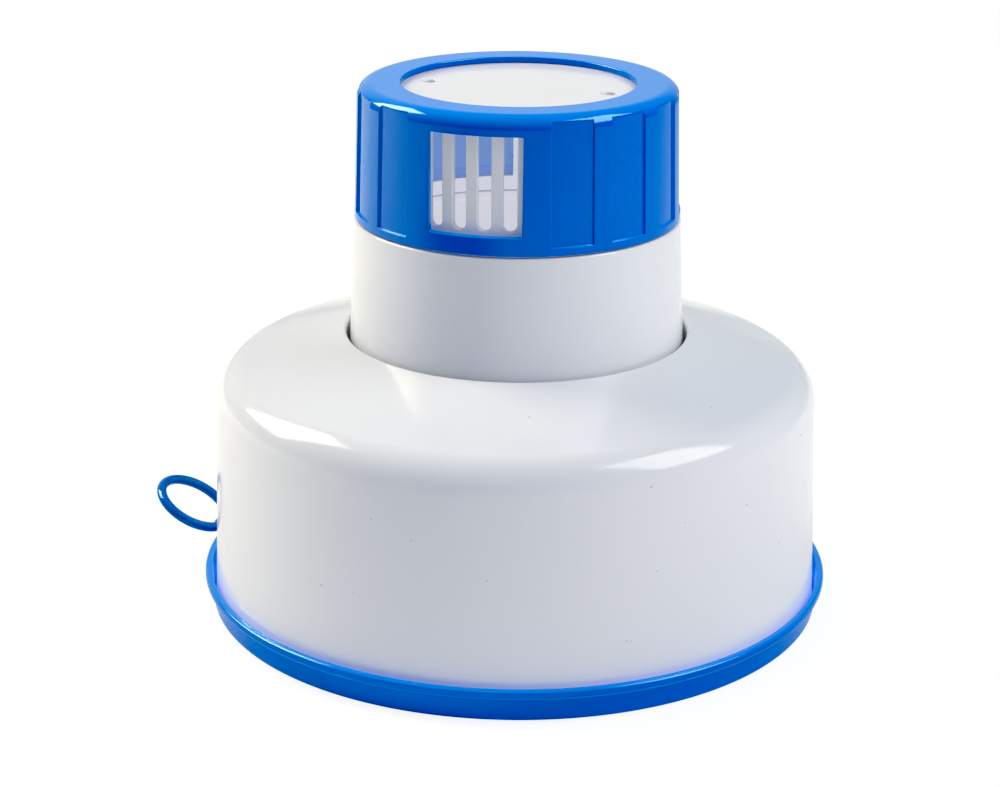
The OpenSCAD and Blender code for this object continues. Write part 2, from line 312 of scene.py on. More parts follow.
def boolean(o, tool, op):
    m = o.modifiers.new("cut", "BOOLEAN")
    m.operation, m.object, m.solver = op, tool, "EXACT"
    dg = bpy.context.evaluated_depsgraph_get()
    me = bpy.data.meshes.new_from_object(o.evaluated_get(dg))
    o.modifiers.clear()
    old = o.data
    o.data = me
    bpy.data.meshes.remove(old)
    bpy.data.objects.remove(tool)


def finish(o, lookup, body, mat, node, angle=38):
    me = o.data
    bm = bmesh.new()
    bm.from_mesh(me)
    bmesh.ops.remove_doubles(bm, verts=bm.verts, dist=5e-7)
    bmesh.ops.dissolve_degenerate(bm, edges=bm.edges, dist=1e-7)
    bmesh.ops.holes_fill(bm, edges=[e for e in bm.edges if e.is_boundary], sides=4)
    bm.to_mesh(me)
    bm.free()
    me.polygons.foreach_set("use_smooth", [True] * len(me.polygons))
    me.update()
    corner_normals(me, lookup, rad(angle))
    me.materials.clear()
    me.materials.append(mat)
    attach(o, body)
    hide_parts(node)
    lo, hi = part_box(node)
    co = np.array([v.co for v in me.vertices])
    bm = bmesh.new()
    bm.from_mesh(me)
    opened = sum(1 for e in bm.edges if len(e.link_faces) != 2)
    bm.free()
    d = max(np.abs(co.min(0) - np.array(lo)).max(), np.abs(co.max(0) - np.array(hi)).max()) * 1000
    print("PIECE %-16s verts %6d faces %6d open %4d box off %.2f mm" % (o.name, len(me.vertices), len(me.polygons), opened, d))
    return o


# ---------------------------------------------------------------- materials
class Nodes:
    def __init__(self, name):
        self.m = bpy.data.materials.new(name)
        self.m.use_nodes = True
        self.t = self.m.node_tree
        self.t.nodes.clear()
        self.out = self.t.nodes.new("ShaderNodeOutputMaterial")
        self.b = self.t.nodes.new("ShaderNodeBsdfPrincipled")
        self.t.links.new(self.b.outputs[0], self.out.inputs[0])
        self.co = self.t.nodes.new("ShaderNodeTexCoord").outputs["Object"]

    def new(self, kind, **props):
        n = self.t.nodes.new("ShaderNode" + kind)
        for k, v in props.items():
            setattr(n, k, v)
        return n

    def link(self, a, b):
        self.t.links.new(a, b)

    def val(self, sock, v):
        if hasattr(v, "is_output"):
            self.link(v, sock)
        else:
            sock.default_value = v

    def math(self, op, a, b=0.0, c=0.0, clamp=False):
        n = self.new("Math", operation=op, use_clamp=clamp)
        for s, v in zip(n.inputs, (a, b, c)):
            self.val(s, v)
        return n.outputs[0]

    def noise(self, scale, detail=3.0, rough=0.5, vec=None, stretch=None, distortion=0.0):
        v = vec or self.co
        if stretch:
            m = self.new("Mapping")
            self.link(v, m.inputs[0])
            m.inputs["Scale"].default_value = stretch
            v = m.outputs[0]
        n = self.new("TexNoise")
        self.link(v, n.inputs["Vector"])
        n.inputs["Scale"].default_value = scale
        n.inputs["Detail"].default_value = detail
        n.inputs["Roughness"].default_value = rough
        n.inputs["Distortion"].default_value = distortion
        return n.outputs["Fac"]

    def ramp(self, fac, lo, hi, a=0.0, b=1.0):
        n = self.new("MapRange", clamp=True)
        n.interpolation_type = "SMOOTHSTEP"
        self.val(n.inputs[0], fac)
        n.inputs[1].default_value, n.inputs[2].default_value = lo, hi
        n.inputs[3].default_value, n.inputs[4].default_value = a, b
        return n.outputs[0]

    def mix(self, fac, a, b, mode="MIX"):
        n = self.new("Mix", data_type="RGBA", blend_type=mode)
        self.val(n.inputs[0], fac)
        self.val(n.inputs[6], a)
        self.val(n.inputs[7], b)
        return n.outputs[2]

    def bump(self, height, strength, dist, normal=None):
        n = self.new("Bump")
        n.inputs["Strength"].default_value = strength
        n.inputs["Distance"].default_value = dist
        self.link(height, n.inputs["Height"])
        if normal is not None:
            self.link(normal, n.inputs["Normal"])
        return n.outputs[0]

    def xyz(self):
        n = self.new("SeparateXYZ")
        self.link(self.co, n.inputs[0])
        return n.outputs

    def pointiness(self):
        return self.new("NewGeometry").outputs["Pointiness"]


def scratches(k, scale, lo, hi):
    """Fine hairline scratches: thin crests of strongly stretched noise in two directions."""
    a = k.noise(scale, 2, 0.6, stretch=(1.0, 1.0, 14.0), distortion=0.6)
    b = k.noise(scale, 2, 0.6, stretch=(9.0, 1.3, 1.0), distortion=0.5)
    ra = k.ramp(k.math("ABSOLUTE", k.math("SUBTRACT", a, 0.5)), lo, hi, 1.0, 0.0)
    rb = k.ramp(k.math("ABSOLUTE", k.math("SUBTRACT", b, 0.5)), lo, hi, 1.0, 0.0)
    patch = k.ramp(k.noise(26, 2, 0.5), 0.56, 0.72)
    return k.math("MULTIPLY", k.math("MAXIMUM", ra, rb), patch)


def white_plastic(name, base=(0.80, 0.81, 0.835), seam=None, glow=None, marks=()):
    k = Nodes(name)
    cloud = k.noise(14, 3, 0.5)
    fine = k.noise(95, 4, 0.55)
    c = k.mix(k.ramp(cloud, 0.35, 0.7), (*base, 1), (base[0] * 0.985, base[1] * 0.985, base[2] * 0.978, 1))
    grime = k.ramp(k.noise(210, 5, 0.7), 0.74, 0.80, 0.0, 0.10)
    c = k.mix(grime, c, (0.42, 0.40, 0.36, 1))
    vor = k.new("TexVoronoi", feature="F1")
    k.link(k.co, vor.inputs["Vector"])
    vor.inputs["Scale"].default_value = 62
    speck = k.ramp(vor.outputs["Distance"], 0.011, 0.018, 1.0, 0.0)
    pick = k.new("SeparateColor")
    k.link(vor.outputs["Color"], pick.inputs[0])
    speck = k.math("MULTIPLY", speck, k.ramp(pick.outputs[0], 0.86, 0.87))
    c = k.mix(k.math("MULTIPLY", speck, 0.55), c, (0.12, 0.11, 0.10, 1))
    edge = k.ramp(k.pointiness(), 0.53, 0.60, 0.0, 0.35)
    c = k.mix(edge, c, (0.88, 0.885, 0.90, 1))
    for (mx_, my_, mz_, mr_, dark) in marks:
        dn_ = k.new("VectorMath", operation="DISTANCE")
        k.link(k.co, dn_.inputs[0])
        dn_.inputs[1].default_value = (mx_ / 1000, my_ / 1000, mz_ / 1000)
        c = k.mix(k.ramp(dn_.outputs["Value"], mr_ * 0.0006, mr_ * 0.0011, dark, 0.0), c, (0.10, 0.09, 0.09, 1))
    k.link(c, k.b.inputs["Base Color"])
    if glow is not None:
        # painted glow on the inside faces only, standing in for light that comes through the thin wall
        gx, gy, gz = k.xyz()[:3]
        gr = k.math("SQRT", k.math("ADD", k.math("MULTIPLY", gx, gx), k.math("MULTIPLY", gy, gy)))
        lim = k.math("ADD", gr, k.math("MULTIPLY", gz, glow[1]))
        inside_ = k.math("MULTIPLY", k.ramp(lim, glow[0] / 1000 - 0.00005, glow[0] / 1000 + 0.00005, 1.0, 0.0),
                         k.math("MULTIPLY", k.ramp(gz, glow[2] / 1000, glow[2] / 1000 + 0.02), k.ramp(gz, glow[3] / 1000 - 0.0001, glow[3] / 1000, 1.0, 0.0)))
        k.b.inputs["Emission Color"].default_value = (1.0, 0.95, 0.955, 1)
        k.link(k.math("MULTIPLY", inside_, glow[4]), k.b.inputs["Emission Strength"])
    scr = scratches(k, 160, 0.0015, 0.006)
    rough = k.math("ADD", k.ramp(fine, 0.3, 0.7, 0.10, 0.17), k.math("MULTIPLY", scr, 0.10))
    k.link(rough, k.b.inputs["Roughness"])
    k.b.inputs["IOR"].default_value = 1.5
    k.b.inputs["Subsurface Weight"].default_value = 0.12
    k.b.inputs["Subsurface Radius"].default_value = (1.0, 0.95, 0.9)
    k.b.inputs["Subsurface Scale"].default_value = 0.0012
    wave = k.noise(38, 2, 0.4)
    peel = k.noise(700, 2, 0.5)
    n = k.bump(wave, 0.35, 0.00022)
    n = k.bump(peel, 0.25, 0.000012, n)
    n = k.bump(scr, -0.3, 0.00001, n)
    if seam is not None:
        x, y, z = k.xyz()[:3]
        ang = k.math("ARCTAN2", x, k.math("MULTIPLY", y, -1.0))
        d = k.math("ABSOLUTE", k.math("SUBTRACT", ang, rad(seam)))
        line = k.math("MULTIPLY", k.ramp(d, 0.0, 0.006, 1.0, 0.0), k.ramp(z, 0.085, 0.100))
        n = k.bump(line, 0.6, 0.00004, n)
    k.link(n, k.b.inputs["Normal"])
    return k.m


def blue_plastic(name, base=(0.0, 0.070, 0.60), inner=None, top=(0.0, 0.21, 0.86), dish=False):
    k = Nodes(name)
    cloud = k.noise(22, 3, 0.5)
    fine = k.noise(120, 4, 0.55)
    c = k.mix(k.ramp(cloud, 0.35, 0.7), (*base, 1), (base[0] + 0.002, base[1] * 0.93, base[2] * 0.95, 1))
    scr = scratches(k, 190, 0.0015, 0.007)
    # convex edges painted paler: partly scuffing, partly painted highlight lines along the edges
    edge = k.ramp(k.pointiness(), 0.518, 0.57, 0.0, 0.65)
    c = k.mix(edge, c, (0.0, 0.24, 0.88, 1))
    c = k.mix(k.math("MULTIPLY", scr, 0.10), c, (0.08, 0.36, 0.85, 1))
    dust = k.ramp(k.noise(420, 4, 0.7), 0.74, 0.80, 0.0, 0.12)
    c = k.mix(dust, c, (0.16, 0.36, 0.70, 1))
    rough = k.math("ADD", k.ramp(fine, 0.3, 0.7, 0.07, 0.14), k.math("MULTIPLY", scr, 0.15))
    # painted light: faces that look up are painted paler, as if lit from above
    geo = k.new("NewGeometry")
    nz = k.new("SeparateXYZ")
    k.link(geo.outputs["Normal"], nz.inputs[0])
    up_ = k.ramp(nz.outputs[2], 0.05, 0.95)
    c = k.mix(up_, c, (*top, 1))
    # painted shade: a negative glow that only the camera sees takes red out of weak reflections, more on walls seen
    # edge-on, less on faces that look up
    path = k.new("LightPath")
    cam_ray = path.outputs["Is Camera Ray"]
    facing = k.new("LayerWeight").outputs["Facing"]
    wall = k.mix(k.ramp(facing, 0.36, 0.55), (0.078, 0.020, 0.0, 1), (0.108, 0.020, 0.0, 1))
    trim = k.mix(up_, wall, (0.040, 0.0, 0.0, 1))
    k.link(trim, k.b.inputs["Emission Color"])
    k.link(k.math("MULTIPLY", cam_ray, -1.0), k.b.inputs["Emission Strength"])
    if dish:
        # painted glow in the gap round the drum, hidden from the camera, standing in for light that comes through the
        # thin lip
        x, y, z = k.xyz()[:3]
        r = k.math("SQRT", k.math("ADD", k.math("MULTIPLY", x, x), k.math("MULTIPLY", y, y)))
        gap = k.math("MULTIPLY", k.ramp(r, 0.0897, 0.0899, 1.0, 0.0), k.ramp(z, 0.0023, 0.0025))
        gap = k.math("MULTIPLY", gap, k.math("SUBTRACT", 1.0, cam_ray))
        k.link(k.mix(gap, trim, (0.20, 0.30, 0.62, 1)), k.b.inputs["Emission Color"])
        k.link(k.math("SUBTRACT", k.math("MULTIPLY", gap, 0.8), cam_ray), k.b.inputs["Emission Strength"])
    if inner is not None:
        # the moulding's core side is painted paler, standing in for light that comes through the wall, and is made
        # rougher (satin)
        x, y, z = k.xyz()[:3]
        r = k.math("SQRT", k.math("ADD", k.math("MULTIPLY", x, x), k.math("MULTIPLY", y, y)))
        core = k.math("MULTIPLY", k.ramp(r, inner - 0.0001, inner + 0.0001, 1.0, 0.0),
                      k.ramp(z, 0.1505, 0.1510, 1.0, 0.0))
        c = k.mix(core, c, (0.12, 0.26, 0.66, 1))
        rough = k.math("ADD", rough, k.math("MULTIPLY", core, 0.35))
        # painted glow on the core side, standing in for light that comes through the thin coloured wall
        k.link(k.mix(core, trim, (0.30, 0.42, 0.66, 1)), k.b.inputs["Emission Color"])
        k.link(k.math("SUBTRACT", k.math("MULTIPLY", core, 0.28), k.math("MULTIPLY", k.math("SUBTRACT", 1.0, core), cam_ray)), k.b.inputs["Emission Strength"])
    k.link(c, k.b.inputs["Base Color"])
    k.link(rough, k.b.inputs["Roughness"])
    k.b.inputs["IOR"].default_value = 1.78
    k.b.inputs["Specular Tint"].default_value = (0.55, 1.0, 1.0, 1)
    n = k.bump(k.noise(60, 2, 0.4), 0.35, 0.00010)
    n = k.bump(k.noise(800, 2, 0.5), 0.25, 0.00001, n)
    n = k.bump(scr, -0.3, 0.00001, n)
    k.link(n, k.b.inputs["Normal"])
    return k.m


def foam_material():
    k = Nodes("foam_beads")
    vor = k.new("TexVoronoi", feature="DISTANCE_TO_EDGE")
    k.link(k.co, vor.inputs["Vector"])
    vor.inputs["Scale"].default_value = 330
    cell = k.ramp(vor.outputs["Distance"], 0.0, 0.12)
    c = k.mix(cell, (0.70, 0.70, 0.67, 1), (0.88, 0.88, 0.86, 1))
    k.link(k.mix(k.ramp(k.noise(40, 3), 0.4, 0.7, 0, 0.3), c, (0.80, 0.79, 0.74, 1)), k.b.inputs["Base Color"])
    k.b.inputs["Roughness"].default_value = 0.75
    k.link(k.bump(cell, 0.7, 0.00035, k.bump(k.noise(900, 3), 0.3, 0.0001)), k.b.inputs["Normal"])
    return k.m


def rubber_material():
    k = Nodes("gasket_rubber")
    c = k.mix(k.ramp(k.noise(60, 4), 0.35, 0.7), (0.022, 0.022, 0.024, 1), (0.045, 0.045, 0.048, 1))
    bloom = k.ramp(k.noise(260, 5, 0.7), 0.62, 0.74, 0.0, 0.25)
    k.link(k.mix(bloom, c, (0.12, 0.12, 0.12, 1)), k.b.inputs["Base Color"])
    k.link(k.ramp(k.noise(150, 3), 0.3, 0.7, 0.5, 0.72), k.b.inputs["Roughness"])
    k.link(k.bump(k.noise(1400, 3), 0.4, 0.00004), k.b.inputs["Normal"])
    return k.m


def silicone_material():
    k = Nodes("clear_silicone")
    c = k.mix(k.ramp(k.noise(90, 3), 0.35, 0.7), (0.72, 0.75, 0.80, 1), (0.80, 0.82, 0.85, 1))
    k.link(c, k.b.inputs["Base Color"])
    k.link(k.ramp(k.noise(200, 3), 0.3, 0.7, 0.25, 0.4), k.b.inputs["Roughness"])
    k.b.inputs["Subsurface Weight"].default_value = 0.5
    k.b.inputs["Subsurface Scale"].default_value = 0.0008
    k.link(k.bump(k.noise(1200, 3), 0.3, 0.00002), k.b.inputs["Normal"])
    return k.m


def steel_material():
    k = Nodes("stainless_screws")
    k.b.inputs["Metallic"].default_value = 1.0
    turned = k.noise(900, 2, 0.5, stretch=(0.12, 0.12, 2.0))
    c = k.mix(k.ramp(turned, 0.35, 0.65), (0.50, 0.51, 0.53, 1), (0.66, 0.67, 0.68, 1))
    k.link(c, k.b.inputs["Base Color"])
    k.link(k.ramp(turned, 0.3, 0.7, 0.18, 0.36), k.b.inputs["Roughness"])
    k.link(k.bump(turned, 0.3, 0.00002), k.b.inputs["Normal"])
    return k.m


def tablet_material():
    k = Nodes("chlorine_tablet")
    grain = k.noise(900, 5, 0.65)
    clump = k.noise(140, 4, 0.6)
    c = k.mix(k.ramp(grain, 0.35, 0.7), (0.86, 0.87, 0.85, 1), (0.76, 0.78, 0.75, 1))
    c = k.mix(k.ramp(clump, 0.55, 0.75, 0, 0.35), c, (0.90, 0.90, 0.86, 1))
    vor = k.new("TexVoronoi", feature="F1")
    k.link(k.co, vor.inputs["Vector"])
    vor.inputs["Scale"].default_value = 420
    pick = k.new("SeparateColor")
    k.link(vor.outputs["Color"], pick.inputs[0])
    fleck = k.math("MULTIPLY", k.ramp(vor.outputs["Distance"], 0.15, 0.25, 1.0, 0.0), k.ramp(pick.outputs[1], 0.93, 0.95))
    c = k.mix(k.math("MULTIPLY", fleck, 0.6), c, (0.25, 0.45, 0.70, 1))
    k.link(c, k.b.inputs["Base Color"])
    k.link(k.ramp(grain, 0.3, 0.7, 0.65, 0.9), k.b.inputs["Roughness"])
    k.link(k.bump(grain, 0.6, 0.00025, k.bump(clump, 0.5, 0.0006)), k.b.inputs["Normal"])
    return k.m


def floor_material():
    k = Nodes("floor_paper")
    c = k.mix(k.ramp(k.noise(3, 3), 0.3, 0.7), (0.90, 0.90, 0.90, 1), (0.915, 0.915, 0.915, 1))
    # painted dark patch on the floor round (-0.34, -0.42) m, unseen by the camera: it darkens what the object reflects
    # and gets as bounce from there
    dark_patch_dist = k.new("VectorMath", operation="DISTANCE")
    k.link(k.co, dark_patch_dist.inputs[0])
    dark_patch_dist.inputs[1].default_value = (-0.34, -0.42, 0)
    k.link(k.mix(k.ramp(dark_patch_dist.outputs["Value"], 0.12, 0.34, 0.85, 0.0), c, (0.10, 0.10, 0.11, 1)), k.b.inputs["Base Color"])
    k.b.inputs["Roughness"].default_value = 0.9
    k.b.inputs["Specular IOR Level"].default_value = 0.1
    k.link(k.bump(k.noise(700, 3), 0.1, 0.0001), k.b.inputs["Normal"])
    # the camera sees the paper overexposed, as on a lit white sweep
    soft = k.new("BsdfDiffuse")
    k.link(c, soft.inputs[0])
    glow = k.new("Emission")
    glow.inputs[1].default_value = 0.86
    dim = k.new("MixShader")
    dim.inputs[0].default_value = 0.80
    none = k.new("Emission")
    none.inputs[1].default_value = 0.0
    k.link(soft.outputs[0], dim.inputs[1])
    k.link(none.outputs[0], dim.inputs[2])
    add = k.new("AddShader")
    k.link(dim.outputs[0], add.inputs[0])
    k.link(glow.outputs[0], add.inputs[1])
    path = k.new("LightPath")
    pick = k.new("MixShader")
    k.link(path.outputs["Is Camera Ray"], pick.inputs[0])
    k.link(k.b.outputs[0], pick.inputs[1])
    k.link(add.outputs[0], pick.inputs[2])
    k.link(pick.outputs[0], k.out.inputs[0])
    return k.m


MARKS = [(3.5, -63.6, 76.5, 0.22, 0.8),
         (52.5, -48.0, 74.1, 0.22, 0.9),
         (78.9, -34.1, 61.2, 0.35, 0.95),
         (62.1, -59.9, 50.6, 0.25, 0.8),
         (35.2, -78.3, 62.8, 0.25, 0.7),
         (29.8, -82.1, 20.7, 0.22, 0.6),
         (30.9, -81.7, 20.5, 0.18, 0.5),
         (-51.5, -70.1, 30.6, 0.25, 0.6),
         (-50.9, -70.5, 30.3, 0.18, 0.5),
         (-42.6, -75.9, 31.0, 0.2, 0.5),
         (-26.8, -82.1, 48.7, 0.25, 0.3),
         (-37.4, -77.7, 52.9, 0.3, 0.3),
         (44.7, -73.8, 51.0, 0.25, 0.35),
         (37.4, -78.2, 39.1, 0.25, 0.35),
         (72.6, -47.6, 34.5, 0.3, 0.45),
         (45.9, -74.7, 10.4, 0.25, 0.4),
         (84.4, -20.3, 36.6, 0.3, 0.4),
         (-7.0, -86.4, 39.5, 0.3, 0.3)]
WHITE = white_plastic("white_plastic_body", marks=MARKS)
# the neck's white is painted a little darker, standing in for the shade and dark reflections on it; neck and cap also
# get a painted inner glow
WHITE_NECK = white_plastic("white_plastic_neck", seam=65.0, glow=(49.13, 0.0461, 30.0, 114.5, 0.27), base=(0.775, 0.79, 0.82))
WHITE_CAP = white_plastic("white_plastic_cap", glow=(41.1, 0.0, 90.0, 148.76, 0.26))
BLUE = blue_plastic("blue_plastic_base", dish=True)
BLUE_COLLAR = blue_plastic("blue_plastic_collar", inner=0.0437)
BLUE_RING = blue_plastic("blue_plastic_ring", base=(0.0, 0.04, 0.40), top=(0.0, 0.10, 0.58))

# ---------------------------------------------------------------- turned pieces
FULL = np.linspace(0, 2 * math.pi, 320, endpoint=False)


def lathe(M, prof, thetas=FULL, mod=None, step=6.0, normal=None):
    return M.lattice(thetas, split_long(np.asarray(prof), step, True), True, True, mod, normal=normal)


def plate(M, outer, holes, h0, h1, f, place, nf=4, lat=1.2):
    """Flat plate with rounded edges. Loops are (points, normals out of the material)."""
    rings = []
    for pts, nrm in [outer] + holes:
        rr = []
        for a in np.linspace(0, 90, nf + 1):
            s, c = math.sin(rad(a)), math.cos(rad(a))
            q = pts - nrm * f * (1 - s)
            rr.append((q, h1 - f * (1 - c)))
        for a in np.linspace(90, 0, nf + 1):
            s, c = math.sin(rad(a)), math.cos(rad(a))
            q = pts - nrm * f * (1 - s)
            rr.append((q, h0 + f * (1 - c)))
        ids = []
        for q, h in rr:
            b = M.add(place(np.column_stack([q, np.full(len(q), h)])))
            ids.append(b + np.arange(len(q)))
        for a, b in zip(ids[:-1], ids[1:]):
            M.strip(a, b)
        rings.append((rr, ids))
    for side in (0, -1):
        pts2, ids, loops = [], [], []
        for rr, idl in rings:
            n0 = len(pts2)
            pts2 += rr[side][0].tolist()
            ids += idl[side].tolist()
            loops.append(list(range(n0, n0 + len(idl[side]))))
        P = np.array(pts2)
        M.fill(P, ids, loops, [P[np.array(lp)] for lp in loops[1:]])


def circle_loop(cx, cy, r, n, inward):
    a = np.linspace(0, 2 * math.pi, n, endpoint=False)
    d = np.column_stack([np.cos(a), np.sin(a)])
    return np.array([cx, cy]) + r * d, (-d if inward else d)


def az_dir(az):
    return np.array([math.sin(rad(az)), -math.cos(rad(az))])


# --- base cover
M = Mesh()
prof = ([(0, 0, 0)] + arc(LIP_R - 3.86, 1.6, 1.6, -90, -8, 8) + [(LIP_R - 1.45, 6.85, 1.2)]
        + arc(LIP_R - 0.95, LIP_H - 1.48, 0.95, -62, 0, 6) + arc(LIP_R - 0.85, LIP_H - 0.85, 0.85, 0, 90, 10)[1:]
        + arc(LIP_R - 1.74, LIP_H - 0.3, 0.3, 90, 180, 5)
        + arc(LIP_R - 3.7, FLOOR_T + 1.4, 1.4, 0, -90, 6)
        + [(shell_in(8) - 0.85, FLOOR_T, 0.3), (shell_in(8) - 0.85, FLOOR_T + 3.8, 0.2),
           (shell_in(8) - 0.3, FLOOR_T + 4.4, 0.2), (shell_in(8) - 0.3, FLOOR_T + 4.9, 0.2),
           (shell_in(8) - 1.3, FLOOR_T + 6.6, 0.4), (shell_in(8) - 2.5, FLOOR_T + 6.6, 0.4),
           (shell_in(8) - 2.5, FLOOR_T, 0.4),
           (can_out(CAN_FOOT) + 1.8, FLOOR_T, 0.3), (can_out(CAN_FOOT) + 1.8, FLOOR_T + 2.9, 0.3),
           (can_out(CAN_FOOT) + 0.6, FLOOR_T + 2.9, 0.3), (can_out(CAN_FOOT) + 0.6, FLOOR_T, 0.1),
           (can_in(CAN_FOOT) - 1.6, FLOOR_T, 0.1), (can_in(CAN_FOOT) - 1.6, FLOOR_T + 3.4, 0.3),
           (can_in(CAN_FOOT) - 2.8, FLOOR_T + 3.4, 0.3), (can_in(CAN_FOOT) - 2.8, FLOOR_T, 0.3),
           (0, FLOOR_T, 0)])
lathe(M, rounded(prof, 4))
base, look = to_object(M, "base_dish")
# screw bosses, each with a blind pilot hole
for i in range(6):
    a = rad((i + 0.5) * 60)
    c = np.array([PCR * math.cos(a), PCR * math.sin(a)])
    m2 = Mesh()
    pr = rounded([(3.7, 1.9, 0), (3.7, FLANGE_Z - 0.06, 0.35), (1.78, FLANGE_Z - 0.06, 0.25), (1.78, 2.2, 0.2), (0, 2.2, 0), (0, 1.9, 0)], 3)
    m2.lattice(np.linspace(0, 2 * math.pi, 40, endpoint=False), pr, True)
    for P in m2.P:
        P[:, 0] += c[0]
        P[:, 1] += c[1]
    t, _ = to_object(m2, "boss")
    boolean(base, t, "UNION")
# tether lug: half-round ear with an eye
M = Mesh()
th = 19.2
out = [(LIP_R - 2.2, LUG_Z - 3.1)]
outn = [(-1, 0)]
pts, nr = [], []
for a in np.linspace(-90, 180 - th, 40):
    pts.append((LUG_R + 2.7 * math.cos(rad(a)), LUG_Z - 0.4 + 2.7 * math.sin(rad(a))))
    nr.append((math.cos(rad(a)), math.sin(rad(a))))
pts.append((LIP_R - 2.2, LUG_Z + 1.02)); nr.append((-0.7, 0.7))
pts.append((LIP_R - 2.2, LUG_Z - 3.1)); nr.append((-0.7, -0.7))
outer = (np.array(pts), np.array(nr))
eye = circle_loop(LUG_R, LUG_Z, WIRE / 2 + 0.3, 40, True)
d, tdir = az_dir(LUG_AZ), np.array([math.cos(rad(LUG_AZ)), math.sin(rad(LUG_AZ))])


def place_lug(q):
    xy = q[:, :1] * d[None, :] + q[:, 2:3] * tdir[None, :]
    return np.column_stack([xy, q[:, 1]])


plate(M, outer, [eye], -LUG_T / 2, LUG_T / 2, 0.25, place_lug)
t, _ = to_object(M, "lug")
boolean(base, t, "UNION")
base.name = base.data.name = "base_dish"
finish(base, None, "float_body", BLUE, "base_cover")

# --- float shell
M = Mesh()
prof = (arc(HOLE_R + 0.7, HOLE_Z - 0.7 - 0.7 * math.tan(rad(CONE_A)) / 2, 0.7, 180, 90 - CONE_A, 8)
        + arc(SH_CR, SH_CZ, SH_R, 90 - CONE_A, WALL_A, 26)
        + arc(shell_out(FLOOR_T + 1) - 0.9, FLOOR_T + 0.96, 0.9, 0, -90, 6)
        + [(shell_in(3), FLOOR_T + 0.06, 0.2), (shell_in(4), FLOOR_T + 1.6, 0), (shell_in(8) - 0.72, FLOOR_T + 2.4, 0.2),
           (shell_in(8) - 0.72, FLOOR_T + 3.2, 0.2), (shell_in(7), FLOOR_T + 3.9, 0.3)]
        + arc(SH_CR, SH_CZ, SH_R - WALL, WALL_A, 90 - CONE_A, 20)
        + [(HOLE_R + 2.2, cone_z(HOLE_R + 2.2) - WALL / math.cos(rad(CONE_A)), 0.6), (HOLE_R + 2.2, HOLE_Z - 5.5, 0.3),
           (HOLE_R, HOLE_Z - 5.5, 0.3)])
lathe(M, rounded(prof, 4), step=4.0)
o, look = to_object(M, "float_drum")
finish(o, look, "float_body", WHITE, "float_shell")


# --- thread ridges shared by the chamber and the insert
def ridge_height(T, z, z0, half_t, h):
    deg = np.degrees(T)
    total = 0.0
    for i in range(4):
        dth = (deg - 90 * i + 180) % 360 - 180
        zc = z0 + LEAD * dth / 360
        a = np.clip((half_t + 0.14 - np.abs(z - zc)) / 0.28, 0, 1)
        b = np.clip((10.4 - np.abs(dth)) / 1.2, 0, 1)
        a, b = a * a * (3 - 2 * a), b * b * (3 - 2 * b)
        total = total + h * a * b
    return total


# --- chamber
M = Mesh()
ci = [(can_in(CAN_FOOT), CAN_FOOT, 0.2), (can_out(CAN_FOOT), CAN_FOOT, 0.35), (can_out(FLANGE_Z), FLANGE_Z, 0.4),
      (PCR + 4.2, FLANGE_Z, 0.5), (PCR + 4.2, FLANGE_Z + 2.5, 0.5), (can_out(FLANGE_Z + 2.5), FLANGE_Z + 2.5, 0.9)]
# a faint sink ring outside, where the ledge is thick
ci += [(can_out(z) - 0.045 * math.exp(-((z - 109.6) / 1.3) ** 2), z, 0) for z in
       [20, 40, 60, 75, 82, 90, 98, 103, 105.5] + list(np.arange(106.5, 113.4, 0.45))]
ci += [(can_out(MOUTH_Z - 0.4), MOUTH_Z - 0.4, 0.2), (MOUTH_R - 0.4, MOUTH_Z, 0.25), (can_in(MOUTH_Z) + 0.35, MOUTH_Z, 0.2),
       (can_in(MOUTH_Z - 0.4), MOUTH_Z - 0.4, 0)]
ci += [(can_in(z), z, 0) for z in np.arange(113.78, 110.6, -0.13)]
ci += [(can_in(LEDGE), LEDGE, 0.12), (can_in(LEDGE) - 1.85, LEDGE, 0.15), (can_in(LEDGE) - 1.85, LEDGE - 1.5, 0.3),
       (can_in(LEDGE - 3.4), LEDGE - 3.4, 0.6)]


def can_mod(T, r, z):
    inner = (np.abs(r - can_in(z)) < 0.05) & (z > LEDGE + 0.5) & (z < MOUTH_Z - 0.45)
    lift = np.where(inner, ridge_height(T, z, LEDGE + 2.9, 0.5, can_in(112.9) - INS_R - 0.28), 0.0)
    return r - lift, np.broadcast_to(z, lift.shape)


NECK_T = np.linspace(0, 2 * math.pi, 360, endpoint=False)
M.lattice(NECK_T, split_long(rounded(ci, 4), 8.0, True), True, True, can_mod)
o, look = to_object(M, "tablet_chamber")
for i in range(6):
    a = rad((i + 0.5) * 60)
    m2 = Mesh()
    m2.lattice(np.linspace(0, 2 * math.pi, 40, endpoint=False), np.array([(0, 7.0), (1.95, 7.0), (1.95, 13.0), (0, 13.0)], float), True)
    for P in m2.P:
        P[:, 0] += PCR * math.cos(a)
        P[:, 1] += PCR * math.sin(a)
    t, _ = to_object(m2, "drill")
    boolean(o, t, "DIFFERENCE")
o.name = o.data.name = "tablet_chamber"
finish(o, look, "float_body", WHITE_NECK, "canister")


# ---------------------------------------------------------------- walls with openings
class Hole:
    """An opening through a round wall. Outline points x (along the wall) and z, with normals out of the material."""

    def __init__(self, az, pts, nrm, radial_r=None):
        self.az, self.p, self.n, self.rr = rad(az), np.array(pts, float), np.array(nrm, float), radial_r

    def at(self, off, rfun, d, inner):
        q = self.p - self.n * off
        x, z = q[:, 0], q[:, 1]
        if self.rr:
            t = self.az + x / self.rr
            r = rfun(t, z) + (d if inner else -d)
            return t, z, r
        t = self.az + np.arcsin(x / 43.5)
        for _ in range(3):
            r = rfun(t, z) + (d if inner else -d)
            t = self.az + np.arcsin(x / r)
        return t, z, r


